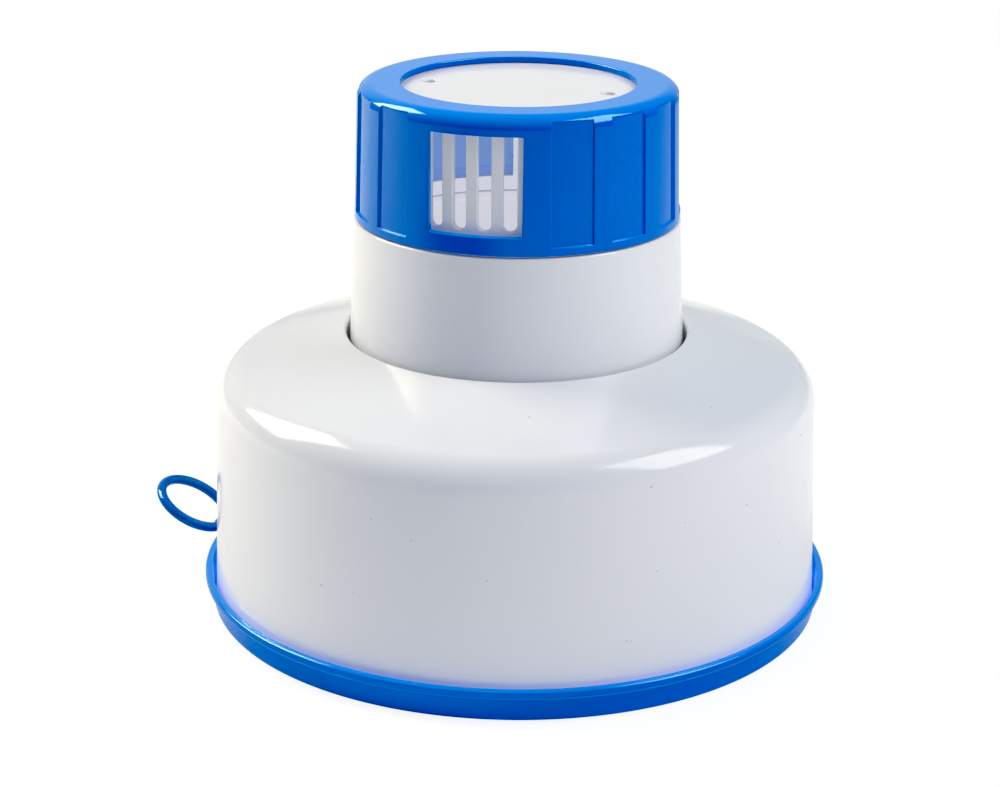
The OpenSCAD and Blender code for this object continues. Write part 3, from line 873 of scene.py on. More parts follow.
def rect_hole(az, x0, x1, z0, z1, rc, nx, zs, radial_r=None, nc=5):
    """Rounded rectangle, counter-clockwise, with side points at the heights zs."""
    zs = [z for z in zs if z0 + rc + 0.15 < z < z1 - rc - 0.15]
    P, N = [], []

    def corner(cx, cz, a0):
        for a in np.linspace(a0, a0 + 90, nc + 1):
            c, s = math.cos(rad(a)), math.sin(rad(a))
            P.append((cx + rc * c, cz + rc * s))
            N.append((-c, -s))

    xs = np.linspace(x0 + rc, x1 - rc, nx + 1)[1:-1]
    for x in xs:
        P.append((x, z0)); N.append((0, 1))
    corner(x1 - rc, z0 + rc, -90)
    for z in zs:
        P.append((x1, z)); N.append((-1, 0))
    corner(x1 - rc, z1 - rc, 0)
    for x in xs[::-1]:
        P.append((x, z1)); N.append((0, -1))
    corner(x0 + rc, z1 - rc, 90)
    for z in zs[::-1]:
        P.append((x0, z)); N.append((1, 0))
    corner(x0 + rc, z0 + rc, 180)
    return Hole(az, P, N, radial_r)


def slot_hole(az, w, z0, z1, zs):
    """Slot with a round lower end and small upper corner radii."""
    h, rc = w / 2, 0.3
    zs = [z for z in zs if z0 + h + 0.2 < z < z1 - rc - 0.2]
    P, N = [], []
    for a in np.linspace(180, 360, 21):
        c, s = math.cos(rad(a)), math.sin(rad(a))
        P.append((h * c, z0 + h + h * s)); N.append((-c, -s))
    for z in zs:
        P.append((h, z)); N.append((-1, 0))
    for a in np.linspace(0, 90, 4):
        c, s = math.cos(rad(a)), math.sin(rad(a))
        P.append((h - rc + rc * c, z1 - rc + rc * s)); N.append((-c, -s))
    for x in (0.6, -0.6):
        P.append((x, z1)); N.append((0, -1))
    for a in np.linspace(90, 180, 4):
        c, s = math.cos(rad(a)), math.sin(rad(a))
        P.append((-h + rc + rc * c, z1 - rc + rc * s)); N.append((-c, -s))
    for z in zs[::-1]:
        P.append((-h, z)); N.append((1, 0))
    return Hole(az, P, N)


def cylinder_normal(t):
    return np.stack([np.sin(t), -np.cos(t), np.zeros_like(t)], -1)


def open_patch(M, idx_o, idx_i, thetas, zo, zi, po, pi, holes, Ro, Ri, fo, fi, i0, i1, jo0, jo1, ji0, ji1, margin=0.22, nf=4):
    """Cuts holes through the outer and inner lattices of one wall, between lattice lines i0..i1 and the given rows."""
    loops_o, loops_i = [], []
    for h in holes:
        rings = []
        for a in np.linspace(0, 90, nf + 1):
            s, c = math.sin(rad(a)), math.cos(rad(a))
            t, z, r = h.at(fo * (1 - s), Ro, fo * (1 - c), False)
            N = cylinder_normal(t) if a == 0 else None
            rings.append((t, z, M.add(cyl(r, t, z), N) + np.arange(len(t))))
        for a in np.linspace(90, 0, nf + 1):
            s, c = math.sin(rad(a)), math.cos(rad(a))
            t, z, r = h.at(fi * (1 - s), Ri, fi * (1 - c), True)
            N = -cylinder_normal(t) if a == 0 else None
            rings.append((t, z, M.add(cyl(r, t, z), N) + np.arange(len(t))))
        for a, b in zip(rings[:-1], rings[1:]):
            M.strip(a[2], b[2])
        loops_o.append(rings[0])
        loops_i.append(rings[-1])
    for idx, zr, loops, (j0, j1) in ((idx_o, zo, loops_o, (jo0, jo1)), (idx_i, zi, loops_i, (ji0, ji1))):
        Rm = 43.5
        T, Z = np.meshgrid(thetas[i0:i1 + 1], zr[j0:j1 + 1], indexing="ij")
        ids = idx[i0:i1 + 1, j0:j1 + 1]
        polys = [np.column_stack([t * Rm, z]) for t, z, _ in loops]
        nt, nz = T.shape
        border = ([(i, 0) for i in range(nt)] + [(nt - 1, j) for j in range(1, nz)]
                  + [(i, nz - 1) for i in range(nt - 2, -1, -1)] + [(0, j) for j in range(nz - 2, 0, -1)])
        bp = np.array([(T[i, j] * Rm, Z[i, j]) for i, j in border])
        bi = [int(ids[i, j]) for i, j in border]
        ip = np.column_stack([T[1:-1, 1:-1].ravel() * Rm, Z[1:-1, 1:-1].ravel()])
        ii = ids[1:-1, 1:-1].ravel()
        ok = np.ones(len(ip), bool)
        for pl in polys:
            ok &= ~inside(ip, pl)
            ok &= ~near_loop(ip, pl, margin)
        pts = [bp, ip[ok]] + polys
        allids = bi + ii[ok].tolist()
        lps = [list(range(len(bp)))]
        n = len(bp) + int(ok.sum())
        for (t, z, k), pl in zip(loops, polys):
            allids += k.tolist()
            lps.append(list(range(n, n + len(k))))
            n += len(k)
        M.fill(np.vstack(pts), allids, lps, polys)


def theta_lines(base, spans, step, gap):
    """Regular lines plus exact ones, dropping regular lines too close to an exact one. All in degrees."""
    exact = np.array(sorted(set(np.round(spans, 6))))
    reg = np.arange(base, base + 360 - 1e-9, step)
    d = np.abs((reg[:, None] - exact[None, :] + 180) % 360 - 180).min(1) if len(exact) else np.full(len(reg), 9.0)
    t = np.concatenate([reg[d > gap], (exact - base) % 360 + base])
    return np.unique(np.round(t, 6))


# --- grille insert
M = Mesh()
ORIGIN = GRILLE - 90.0          # a line through the middle of a plain panel
special = []
for k4 in range(4):
    special += [GRILLE + 90 * k4 + s for s in ((-17.6, 17.6), (-17.3, 17.3), (-17.3, -16.9, 16.7), (-17.3, 17.3))[k4]]
tl = theta_lines(ORIGIN, special, 1.25, 0.45)
tr = np.radians(tl)
Z_LO, Z_HI = MOUTH_Z, SLOT_TOP + 0.2
bead = [(INS_R, MOUTH_Z + 1.8), (INS_R, MOUTH_Z + 1.9), (INS_R + 0.5, MOUTH_Z + 2.3), (INS_R + 0.5, MOUTH_Z + 2.7),
        (INS_R, MOUTH_Z + 3.25), (INS_R, MOUTH_Z + 3.35)]
bz, br = [b[1] for b in bead], [b[0] for b in bead]


def ins_ro(t, z):
    return np.interp(z, bz, br, left=INS_R, right=INS_R) + 0 * t


def ins_ri(t, z):
    return INS_IN + 0 * t + 0 * z


zw = np.unique(np.round(np.concatenate([[Z_LO, MOUTH_Z + 1.2], bz, [MOUTH_Z + 2.1, MOUTH_Z + 2.5, MOUTH_Z + 3.0],
                                        np.arange(118.4, Z_HI - 0.5, 1.1), [Z_HI]]), 6))
below_o = np.array([(INS_IN + 0.3, 110.65)] + [tuple(p) for p in rounded([(INS_IN + 0.3, 110.65, 0), (INS_R - 0.3, 110.65, 0.12),
                   (INS_R, 110.95, 0.12), (INS_R, 111.5, 0)], 3)[1:-1]])
th_rows = [(INS_R, z) for z in np.arange(111.05, 113.25, 0.12)]
rows_o = np.vstack([below_o, th_rows, [(INS_R, 113.7)], np.column_stack([np.full(len(zw), INS_R), zw])])
n_before = len(rows_o) - len(zw)
top_rows = rounded([(INS_R, Z_HI, 0), (INS_R, DISC_Z - 0.3, 0.15), (INS_R - 0.3, DISC_Z, 0.15), (38.0, DISC_Z, 0)], 3)[1:-1]
rows_o = np.vstack([rows_o, top_rows, [(41.5, DISC_Z)]])
jo0, jo1 = n_before, n_before + len(zw) - 1


def ins_mod(T, r, z):
    r = np.broadcast_to(r, np.broadcast_shapes(T.shape, r.shape)).copy()
    z = np.broadcast_to(z, r.shape)
    r += np.where(np.abs(r - INS_R) < 1e-6, np.interp(z, bz, br, left=INS_R, right=INS_R) - INS_R, 0)
    r += np.where((z > 110.96) & (z < 113.4) & (np.abs(r - INS_R) < 1e-6), ridge_height(T, z, LEDGE + 1.8, 0.45, 0.68), 0)
    return r, z


def ins_norm(T, r, z):
    n = cylinder_normal(np.broadcast_to(T, r.shape))
    flat = ((z > 118.0) & (z < DISC_Z - 0.5)) | ((z > 113.6) & (z < 115.9))
    return np.where(flat[..., None], n, np.nan)


cells = []


def locate(arr, v):
    return int(np.argmin(np.abs(arr - v)))


panels = []
for az0, lo, hi in ((GRILLE + 0.0, 17.6, 17.6), (GRILLE + 180.0, 16.9, 16.7)):
    a = (az0 - lo - ORIGIN) % 360 + ORIGIN
    panels.append((locate(tl, a), locate(tl, a + lo + hi), a + lo, "front" if lo > 17 else "back"))
for k4, lo, hi in ((0, 27.4, 27.7), (1, 27.7, 27.7), (2, 28.3, 27.7), (3, 27.7, 27.4)):
    c = GRILLE + 45 + 90 * k4
    c = (c - ORIGIN) % 360 + ORIGIN
    panels.append((locate(tl, c - lo), locate(tl, c + hi), c, "wide" if k4 == 2 else "gap"))
skip_o = [(i0, i1, jo0, jo1) for i0, i1, _, _ in panels]
idx_o = M.lattice(tr, rows_o, False, True, ins_mod, skip_o, ins_norm)
rows_i = np.vstack([[(INS_IN + 0.3, 110.65), (INS_IN + 0.05, 110.85), (INS_IN, 110.95), (INS_IN, 112.5)],
                    np.column_stack([np.full(len(zw), INS_IN), zw]), [(INS_IN, DISC_Z - DISC_T - 0.15), (INS_IN - 0.15, DISC_Z - DISC_T), (39.8, DISC_Z - DISC_T)]])
ji0, ji1 = 4, 4 + len(zw) - 1
skip_i = [(i0, i1, ji0, ji1) for i0, i1, _, _ in panels]
idx_i = M.lattice(tr, rows_i, False, True, None, skip_i,
                  lambda T, r, z: np.where(((z > 111) & (z < 148.4))[..., None], -cylinder_normal(np.broadcast_to(T, r.shape)), np.nan))
for i0, i1, c, kind in panels:
    if kind == "front":
        holes = [slot_hole(c - 0.3 + (i - 1.5) * (SLOT_P + 0.22), SLOT_W + 0.25, SLOT_Z - 0.5, SLOT_TOP - 0.5, np.arange(119, 149, 1.3)) for i in range(4)]
        fo, fi = 0.5, 0.35
    elif kind == "back":
        holes = [slot_hole(c + (i - 1.5) * SLOT_P, SLOT_W, SLOT_Z, SLOT_TOP - 0.5, np.arange(119, 149, 1.3)) for i in range(4)]
        fo, fi = 0.4, 0.3
    else:
        x0, x1 = (math.pi / 180 * INS_R * v for v in (-26.9 if kind == "wide" else -26.74, 26.74))
        holes = [rect_hole(c, x0, x1, MOUTH_Z + 0.7, DISC_Z - DISC_T - 1.0, 0.6, 40, zw, INS_R)]
        fo, fi = 0.28, 0.2
    zall_o, zall_i = rows_o[:, 1], rows_i[:, 1]
    open_patch(M, idx_o, idx_i, tr, zall_o, zall_i, None, None, holes, ins_ro, ins_ri, fo, fi,
               i0, i1, jo0, jo1, ji0, ji1, 0.2 if kind in ("front", "back") else 0.15)
# end disc with its two vent holes, rims rounded
vents = [az_dir(GRILLE + s) * 26 for s in (90, 270)]
for side, idx, zz, rim in ((1, idx_o[:, -1], DISC_Z, 41.5), (-1, idx_i[:, -1], DISC_Z - DISC_T, 39.8)):
    ring = np.column_stack([rim * np.sin(tr), -rim * np.cos(tr)])
    P, ids, loops, polys = [ring], idx.tolist(), [list(range(len(ring)))], []
    f = 0.45 if side > 0 else 0.2
    vloops = []
    for v in vents:
        a = np.linspace(0, 2 * math.pi, 56, endpoint=False)
        dd = np.column_stack([np.cos(a), np.sin(a)])
        q = v + dd * (VENT_R + f)
        b = M.add(np.column_stack([q, np.full(56, zz)]))
        vloops.append((q, b + np.arange(56), v, dd))
    n = len(ring)
    for q, k, v, dd in vloops:
        P.append(q); ids += k.tolist(); loops.append(list(range(n, n + 56))); polys.append(q); n += 56
    # inner support rings
    for rr in (37.5, 33.5, 29.5, 25.5, 21.5, 17, 12, 7, 2.5):
        m = max(8, int(2 * math.pi * rr / 3))
        a = np.linspace(0, 2 * math.pi, m, endpoint=False)
        q = np.column_stack([rr * np.cos(a), rr * np.sin(a)])
        ok = np.ones(m, bool)
        for v in vents:
            ok &= np.linalg.norm(q - v, axis=1) > VENT_R + f + 0.8
        q = q[ok]
        b = M.add(np.column_stack([q, np.full(len(q), zz)]))
        P.append(q); ids += list(range(b, b + len(q)))
    M.fill(np.vstack(P), ids, loops, polys)
    if side > 0:
        top_loops = vloops
    else:
        for (qt, kt, v, dd), (qb, kb, _, _) in zip(top_loops, vloops):
            rings = [kt]
            for a in np.linspace(0, 90, 6)[1:]:
                s, c = math.sin(rad(a)), math.cos(rad(a))
                q = v + dd * (VENT_R + 0.45 * (1 - s))
                rings.append(M.add(np.column_stack([q, np.full(56, DISC_Z - 0.45 * (1 - c))])) + np.arange(56))
            for a in np.linspace(90, 0, 4)[:-1]:
                s, c = math.sin(rad(a)), math.cos(rad(a))
                q = v + dd * (VENT_R + 0.2 * (1 - s))
                rings.append(M.add(np.column_stack([q, np.full(56, DISC_Z - DISC_T + 0.2 * (1 - c))])) + np.arange(56))
            rings.append(kb)
            for a, b in zip(rings[:-1], rings[1:]):
                M.strip(a, b)
ins, look = to_object(M, "grille_cap")


def add_box(name, size, loc, rz, bevel=0.25):
    bm = bmesh.new()
    bmesh.ops.create_cube(bm, size=1.0)
    bmesh.ops.scale(bm, vec=size, verts=bm.verts)
    bmesh.ops.bevel(bm, geom=bm.edges[:], offset=bevel, segments=2, affect="EDGES")
    bmesh.ops.rotate(bm, cent=(0, 0, 0), matrix=Matrix.Rotation(rz, 3, "Z"), verts=bm.verts)
    bmesh.ops.translate(bm, vec=loc, verts=bm.verts)
    bmesh.ops.scale(bm, vec=(1e-3,) * 3, verts=bm.verts)
    me = bpy.data.meshes.new(name)
    bm.to_mesh(me)
    bm.free()
    ob = bpy.data.objects.new(name, me)
    bpy.context.scene.collection.objects.link(ob)
    return ob


for a in (0, 60, 120):
    boolean(ins, add_box("rib", (76, 1.6, 2.5), (0, 0, DISC_Z - DISC_T - 0.75), rad(a + 15)), "UNION")
for s in (0, 180):
    p = az_dir(30 + s) * 38
    m2 = Mesh()
    m2.lattice(np.linspace(0, 2 * math.pi, 32, endpoint=False), rounded([(0, DISC_Z - 0.5, 0), (1.0, DISC_Z - 0.5, 0), (1.0, DISC_Z + 0.7, 0.2), (0, DISC_Z + 0.7, 0)], 3), True)
    for P in m2.P:
        P[:, 0] += p[0]
        P[:, 1] += p[1]
    t, _ = to_object(m2, "pin")
    boolean(ins, t, "UNION")
ins.name = ins.data.name = "grille_cap"
finish(ins, look, "cap", WHITE_CAP, "grille_insert")

# --- flow collar
M = Mesh()
C_OR = WINDOW - 90.0
cs, cdp = [], []
for a in np.linspace(0, 80, 5):
    cs.append(-0.2 + 0.2 * math.sin(rad(a))); cdp.append(0.2 - 0.2 * math.cos(rad(a)))
s2 = cs[-1] + (GRIP - 2 * cdp[-1]) * math.tan(rad(10))
for a in np.linspace(80, 0, 5):
    cs.append(s2 + 0.2 * math.sin(rad(80)) - 0.2 * math.sin(rad(a))); cdp.append(GRIP - 0.2 + 0.2 * math.cos(rad(a)))
cs, cdp = np.array(cs), np.array(cdp)
grips = [WINDOW + s + 33.75 + 22.5 * i for s in (0, 180) for i in range(6)]
HALF = 7.6
special = []
for c in grips:
    for s in cs:
        e = math.degrees(s / COL_R)
        special += [c - HALF + e, c + HALF - e]
for s in (0, 180):
    special += [WINDOW + s - 21.5, WINDOW + s + 21.5]
    special += [30 + s - 91.8, 30 + s - 91.5, 30 + s + 1.5, 30 + s + 1.8]
special = [(x - C_OR) % 360 + C_OR for x in special]
cl = theta_lines(C_OR, special, 1.2, 0.16)
cr = np.radians(cl)


def lateral(T):
    deg = np.degrees(T)
    best = np.full(np.shape(deg), -9.0)
    for c in grips:
        d = (deg - c + 180) % 360 - 180
        best = np.maximum(best, (HALF - np.abs(d)) * math.pi / 180 * COL_R)
    return best


def depth(T, z):
    return np.minimum(np.interp(lateral(T), cs, cdp), np.interp(z - (COL_Z + 2.2), cs, cdp))


fil = np.concatenate([np.linspace(0, 33.1, 8), np.linspace(33.1, 90, 15)[1:]])
cz0, cr0 = TOP_Z - COL_TOP, col_out(TOP_Z - COL_TOP) - COL_TOP
outer_z = np.concatenate([[COL_Z + 0.3, COL_Z + 1.0], COL_Z + 2.2 + cs, [COL_Z + 2.7, 118.2], np.arange(119.1, 147.6, 1.05), [148.1]])
rows = rounded([(COL_R - 2.9, COL_Z, 0.12), (COL_R - 0.001, COL_Z, 0.3), (COL_R, COL_Z + 0.8, 0)], 4)
bot = rounded([(COL_IN + 0.3, COL_Z, 0.12), (COL_R, COL_Z, 0.32), (col_out(COL_Z + 3), COL_Z + 3, 0), (COL_IN, COL_Z + 3, 0), (COL_IN, COL_Z + 0.3, 0.12)], 5)
bot_rows = bot[:12]                      # lower inner corner and lower outer edge
rows_c = [tuple(p) for p in bot_rows]
zlast = rows_c[-1][1]
o_start = len(rows_c)
rows_c += [(col_out(z), z) for z in outer_z if z > zlast + 0.1]
o_z = [p[1] for p in rows_c]
rows_c += [(cr0 + COL_TOP * math.cos(rad(a)), cz0 + COL_TOP * math.sin(rad(a))) for a in fil]
rows_c += [(r, TOP_Z) for r in (40.0, 37.5, 35.0)]
rows_c += [tuple(p) for p in rounded([(40, TOP_Z, 0), (FLANGE_IN, TOP_Z, 0.5), (FLANGE_IN, DISC_Z + 0.08, 0.25), (36, DISC_Z + 0.08, 0)], 6)[1:-1]]
rows_c += [(34.8, DISC_Z + 0.08), (36.5, DISC_Z + 0.08), (36.78, DISC_Z + 0.08), (36.92, DISC_Z + 0.081), (39.08, DISC_Z + 0.081), (39.22, DISC_Z + 0.08),
           (40.5, DISC_Z + 0.08)]
rows_c += [tuple(p) for p in rounded([(40.5, DISC_Z + 0.08, 0), (COL_IN, DISC_Z + 0.08, 0.2), (COL_IN, 146, 0)], 3)[1:-1]]
i_start = len(rows_c)
inner_z = np.concatenate([[148.1], np.arange(147.4, 118.9, -1.05), [118.25]])
rows_c += [(COL_IN, z) for z in inner_z]
rows_c += [tuple(p) for p in rounded([(COL_IN, 118.2, 0), (COL_IN, MOUTH_Z + 3.7, 0.1), (INS_R + 0.6, MOUTH_Z + 2.85, 0.1), (INS_R + 0.6, MOUTH_Z + 2.2, 0.1),
           (COL_IN, MOUTH_Z + 1.75, 0.1), (COL_IN, COL_Z + 0.3, 0.1), (COL_IN + 0.3, COL_Z, 0.1)], 3)[1:-1]]
rows_c = np.array(rows_c)
n_outer = i_start


def col_mod(T, r, z):
    T, r, z = np.broadcast_arrays(T, r, z)
    r, z = r.copy(), z.copy()
    outer = r > col_out(z) - 5.0
    outer &= z > COL_Z + 1.2
    outer &= np.arange(r.shape[1])[None, :] < i_start - 12
    lim = col_out(z) - depth(T, z)
    r = np.where(outer, np.minimum(r, lim), r)
    # stop grooves for the insert's two pins
    deg = np.degrees(T)
    g = np.zeros_like(r)
    for s in (0, 180):
        d = (deg - (30 + s - 45.0) + 180) % 360 - 180
        g = np.maximum(g, np.clip((46.81 - np.abs(d)) / 0.3, 0, 1))
    z = np.where(np.abs(z - (DISC_Z + 0.081)) < 1e-6, z + 0.77 * g, z)
    return r, z


def col_norm(T, r, z):
    T, r, z = np.broadcast_arrays(T, r, z)
    lat = lateral(T)
    steady = (lat < -0.22) | (lat > 0.27)
    jj = np.arange(r.shape[1])[None, :]
    wall_o = (z > COL_Z + 2.7) & (z < cz0 - 0.2) & (jj < i_start - 20) & (r > 44)
    n = cylinder_normal(T) + np.array([0, 0, 0.03])
    n = n / np.linalg.norm(n, axis=-1, keepdims=True)
    out = np.where((wall_o & steady)[..., None], n, np.nan)
    wall_i = (z > 118.2) & (z < 148.2) & (jj >= i_start)
    return np.where(wall_i[..., None], -cylinder_normal(T), out)


jo0 = int(np.argmin(np.abs(rows_c[:i_start // 2 + 10, 1] - 118.2) + (rows_c[:i_start // 2 + 10, 0] < 44) * 99))
jo1 = int(np.argmin(np.abs(rows_c[:i_start // 2 + 30, 1] - 148.1) + (rows_c[:i_start // 2 + 30, 0] < 44) * 99))
ji0, ji1 = i_start, i_start + len(inner_z) - 1
pans = []
for c in (WINDOW, WINDOW + 180):
    c = (c - C_OR) % 360 + C_OR
    pans.append((locate(cl, c - 21.5), locate(cl, c + 21.5), c))
idx = M.lattice(cr, rows_c, True, True, col_mod, [(i0, i1, jo0, jo1) for i0, i1, _ in pans] + [(i0, i1, ji0, ji1) for i0, i1, _ in pans], col_norm)
for i0, i1, c in pans:
    hole = rect_hole(c, -WIN_W / 2, WIN_W / 2, WIN_Z, WIN_Z + WIN_H, 0.55, 26, np.arange(120.5, 147, 1.05))
    open_patch(M, idx, idx, cr, rows_c[:, 1], rows_c[:, 1], None, None, [hole], lambda t, z: col_out(z) + 0 * t,
               lambda t, z: COL_IN + 0 * t + 0 * z, 0.35, 0.2, i0, i1, jo0, jo1, ji0, ji1, 0.25)
o, look = to_object(M, "flow_ring")
finish(o, look, "collar", BLUE_COLLAR, "flow_collar")

# --- tether ring: round wire with a faint parting line and a gate mark
M = Mesh()
U, V = np.meshgrid(np.linspace(0, 2 * math.pi, 180, endpoint=False), np.linspace(0, 2 * math.pi, 48, endpoint=False), indexing="ij")
vd = np.degrees(V)
part = np.exp(-((((vd + 90) % 180) - 90) / 5.0) ** 2)
gate = np.exp(-(((np.degrees(U) - 62) / 3.2) ** 2)) * np.exp(-(((vd + 180) % 360 - 180) / 22.0) ** 2)
w = 1.46 + 0.02 * part + 0.0 * gate - 0.05 * gate
X = 10.95 + w * np.cos(V)
lx, ly, lz = X * np.cos(U) + 10.95, X * np.sin(U), w * np.sin(V)
tx, tz = lx * math.cos(rad(TILT)) - lz * math.sin(rad(TILT)), lx * math.sin(rad(TILT)) + lz * math.cos(rad(TILT))
P = np.stack([d[0] * (LUG_R + tx) + tdir[0] * ly, d[1] * (LUG_R + tx) + tdir[1] * ly, LUG_Z + tz], -1)
g = M.add(P) + np.arange(180 * 48).reshape(180, 48)
g = np.vstack([g, g[:1]])
g = np.hstack([g, g[:, :1]])
M.faces(np.stack([g[:-1, :-1], g[1:, :-1], g[1:, 1:], g[:-1, 1:]], -1).reshape(-1, 4))
o, look = to_object(M, "tether_loop")
finish(o, None, "tether", BLUE_RING, "tether_ring")


# ---------------------------------------------------------------- hidden pieces
def wobble(P, waves, amp, seed):
    r = np.random.RandomState(seed)
    s = np.zeros(len(P))
    for f in waves:
        for _ in range(5):
            k = r.normal(size=3)
            k *= f / np.linalg.norm(k)
            s += np.sin(P @ k + r.uniform(0, 6.28)) / len(waves) / 3
    return amp * s


def rough_lathe(name, prof, step, waves, amp, seed, body, mat, node, n=300, edge=None):
    M = Mesh()
    rows = split_long(rounded(prof, 4), step, True)
    M.lattice(np.linspace(0, 2 * math.pi, n, endpoint=False), rows, True)
    o, _ = to_object(M, name)
    me = o.data
    co = np.array([v.co for v in me.vertices]) * 1000
    nn = np.array([v.normal for v in me.vertices])
    a = wobble(co, waves, amp, seed)
    if edge is not None:
        a = a + edge(co, wobble(co, [1.1, 2.3], 1.0, seed + 5))
    co = co + nn * np.minimum(a, 0.0)[:, None] if amp > 0 else co
    me.vertices.foreach_set("co", (co / 1000).astype(np.float32).ravel())
    me.update()
    return finish(o, None, body, mat, node, 60)


FOAM, RUBBER, SILICONE, STEEL, TABLET = foam_material(), rubber_material(), silicone_material(), steel_material(), tablet_material()
rough_lathe("float_foam", [(HOLE_R + 3.6, FLOOR_T + 11.8, 1.5), (shell_in(16) - 3, FLOOR_T + 11.8, 1.0), (shell_in(20) - 1, FLOOR_T + 13.8, 1.0),
                           (shell_in(SH_CZ - 3) - 1, SH_CZ - 3, 3.0), (TAN_R - WALL - 2, TAN_Z - WALL - 1.6, 4.0),
                           (HOLE_R + 5, cone_z(HOLE_R + 5) - WALL - 1.2, 1.0), (HOLE_R + 3.6, cone_z(HOLE_R + 5) - WALL - 2.2, 1.0)],
            2.0, [1.6, 2.6], 0.12, 11, "float_body", FOAM, "float_foam_ring", 280)
rough_lathe("foot_gasket", [(can_in(CAN_FOOT) - 1.4, FLOOR_T + 0.02, 0.25), (can_in(CAN_FOOT) + NECK + 0.4, FLOOR_T + 0.02, 0.25),
                            (can_in(CAN_FOOT) + NECK + 0.4, CAN_FOOT - 0.03, 0.25), (can_in(CAN_FOOT) - 1.4, CAN_FOOT - 0.03, 0.25)],
            1.0, [1.0], 0.01, 12, "float_body", RUBBER, "canister_gasket", 240)
rough_lathe("mouth_seal", [(INS_IN + 1.0, LEDGE + 0.02, 0.12), (INS_R + 0.2, LEDGE + 0.02, 0.12), (INS_R + 0.2, LEDGE + 0.62, 0.12), (INS_IN + 1.0, LEDGE + 0.62, 0.12)],
            0.5, [1.0], 0.005, 13, "cap_seal", SILICONE, "cap_seal", 240)


def chips(z0):
    def f(co, n):
        r = np.hypot(co[:, 0], co[:, 1])
        e = np.exp(-((r - 37.0) / 1.3) ** 2) * (np.exp(-((co[:, 2] - z0 - 1) / 1.4) ** 2) + np.exp(-((co[:, 2] - z0 - 24) / 1.4) ** 2))
        return -np.clip(n - 0.15, 0, 1) * 1.1 * e
    return f


for i, nm in enumerate(("lower", "middle", "upper")):
    z = FLOOR_T + 0.1 + i * 25.1
    rough_lathe("tablet_" + nm + "_pressed", [(0, z, 0), (35.6, z, 0.8), (38, z + 2, 0.8), (38, z + 23, 0.8), (35.6, z + 25, 0.8), (0, z + 25, 0)],
                1.0, [2.2, 4.1, 6.0], 0.10, 20 + i, "tablets", TABLET, "tablet_" + nm, 260, chips(z))

# screws: pan head with a cross recess, threaded shank, six of them in one piece
M = Mesh()
zt = FLANGE_Z + 2.5 + 0.02
hd = [(x, zt + y) for x, y in rounded([(0, 2.3, 0), (2.4, 2.3, 1.2), (3.5, 1.5, 0.5), (3.5, 0, 0.2), (1.75, 0, 0.1), (1.75, -0.6, 0)], 5)[:-1]]
zs = np.arange(-0.7, -8.3, -0.1)
rows_s = np.array(hd + [(1.72, zt + y) for y in zs] + [(1.70, zt - 8.4), (0.5, zt - 9.3), (0, zt - 9.3)])


def screw_mod(T, r, z):
    T, r, z = np.broadcast_arrays(T, r, z)
    ph = ((z - zt) / 1.25 - T / (2 * math.pi)) % 1.0
    tooth = 1 - np.abs(ph - 0.5) * 2
    fade = np.clip((zt - 1.0 - z) / 0.8, 0, 1) * np.clip((z - (zt - 8.3)) / 0.5, 0, 1)
    sh = (r < 1.73) & (r > 1.69) & (z < zt - 0.6)
    return np.where(sh, r - 0.42 * fade * (1 - tooth ** 0.7), r), z


M.lattice(np.linspace(0, 2 * math.pi, 40, endpoint=False), rows_s, False, True, screw_mod)
one, _ = to_object(M, "screw")
boolean(one, add_box("cross_a", (3.8, 0.8, 3), (0, 0, zt + 2.4), 0, 0.12), "DIFFERENCE")
boolean(one, add_box("cross_b", (3.8, 0.8, 3), (0, 0, zt + 2.4), rad(90), 0.12), "DIFFERENCE")
bm = bmesh.new()
for i in range(6):
    a = rad((i + 0.5) * 60)
    tmp = bmesh.new()
    tmp.from_mesh(one.data)
    bmesh.ops.rotate(tmp, cent=(0, 0, 0), matrix=Matrix.Rotation(0.35 + i * 1.3, 3, "Z"), verts=tmp.verts)
    bmesh.ops.translate(tmp, vec=(PCR * math.cos(a) / 1000, PCR * math.sin(a) / 1000, 0), verts=tmp.verts)
    mm = bpy.data.meshes.new("t")
    tmp.to_mesh(mm)
    tmp.free()
    bm.from_mesh(mm)
    bpy.data.meshes.remove(mm)
me = bpy.data.meshes.new("pan_screws")
bm.to_mesh(me)
bm.free()
bpy.data.objects.remove(one)
o = bpy.data.objects.new("pan_screws", me)
bpy.context.scene.collection.objects.link(o)
finish(o, None, "float_body", STEEL, "canister_screws", 35)

for m_ in bpy.data.materials:
    m_.cycles.emission_sampling = "NONE"

# every CAD node keeps a procedural finish too
NODE_MATERIAL = {"base_cover": BLUE, "float_shell": WHITE, "float_foam_ring": FOAM, "canister": WHITE_NECK, "canister_gasket": RUBBER,
                 "canister_screws": STEEL, "cap_seal": SILICONE, "grille_insert": WHITE_CAP, "flow_collar": BLUE_COLLAR,
                 "tether_ring": BLUE_RING, "tablet_lower": TABLET, "tablet_middle": TABLET, "tablet_upper": TABLET}
for n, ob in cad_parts.items():
    ob.data.materials.clear()
    ob.data.materials.append(NODE_MATERIAL[n])

# ---------------------------------------------------------------- studio
bm = bmesh.new()
bmesh.ops.create_grid(bm, x_segments=24, y_segments=24, size=6.0)
me = bpy.data.meshes.new("floor_sheet")
bm.to_mesh(me)
bm.free()
floor = bpy.data.objects.new("floor_sheet", me)
floor.location = (0, 0, -0.0001)
me.materials.append(floor_material())
bpy.context.scene.collection.objects.link(floor)

scene = bpy.context.scene
scene.view_settings.view_transform = "Standard"
scene.view_settings.look = "None"
scene.view_settings.exposure = 0.0
world = bpy.data.worlds.new("studio")
scene.world = world
world.use_nodes = True
wt = world.node_tree
wt.nodes.clear()
wo = wt.nodes.new("ShaderNodeOutputWorld")
SKY_EL = [4.0, 24.0, 46.0, 68.0, 90.0]
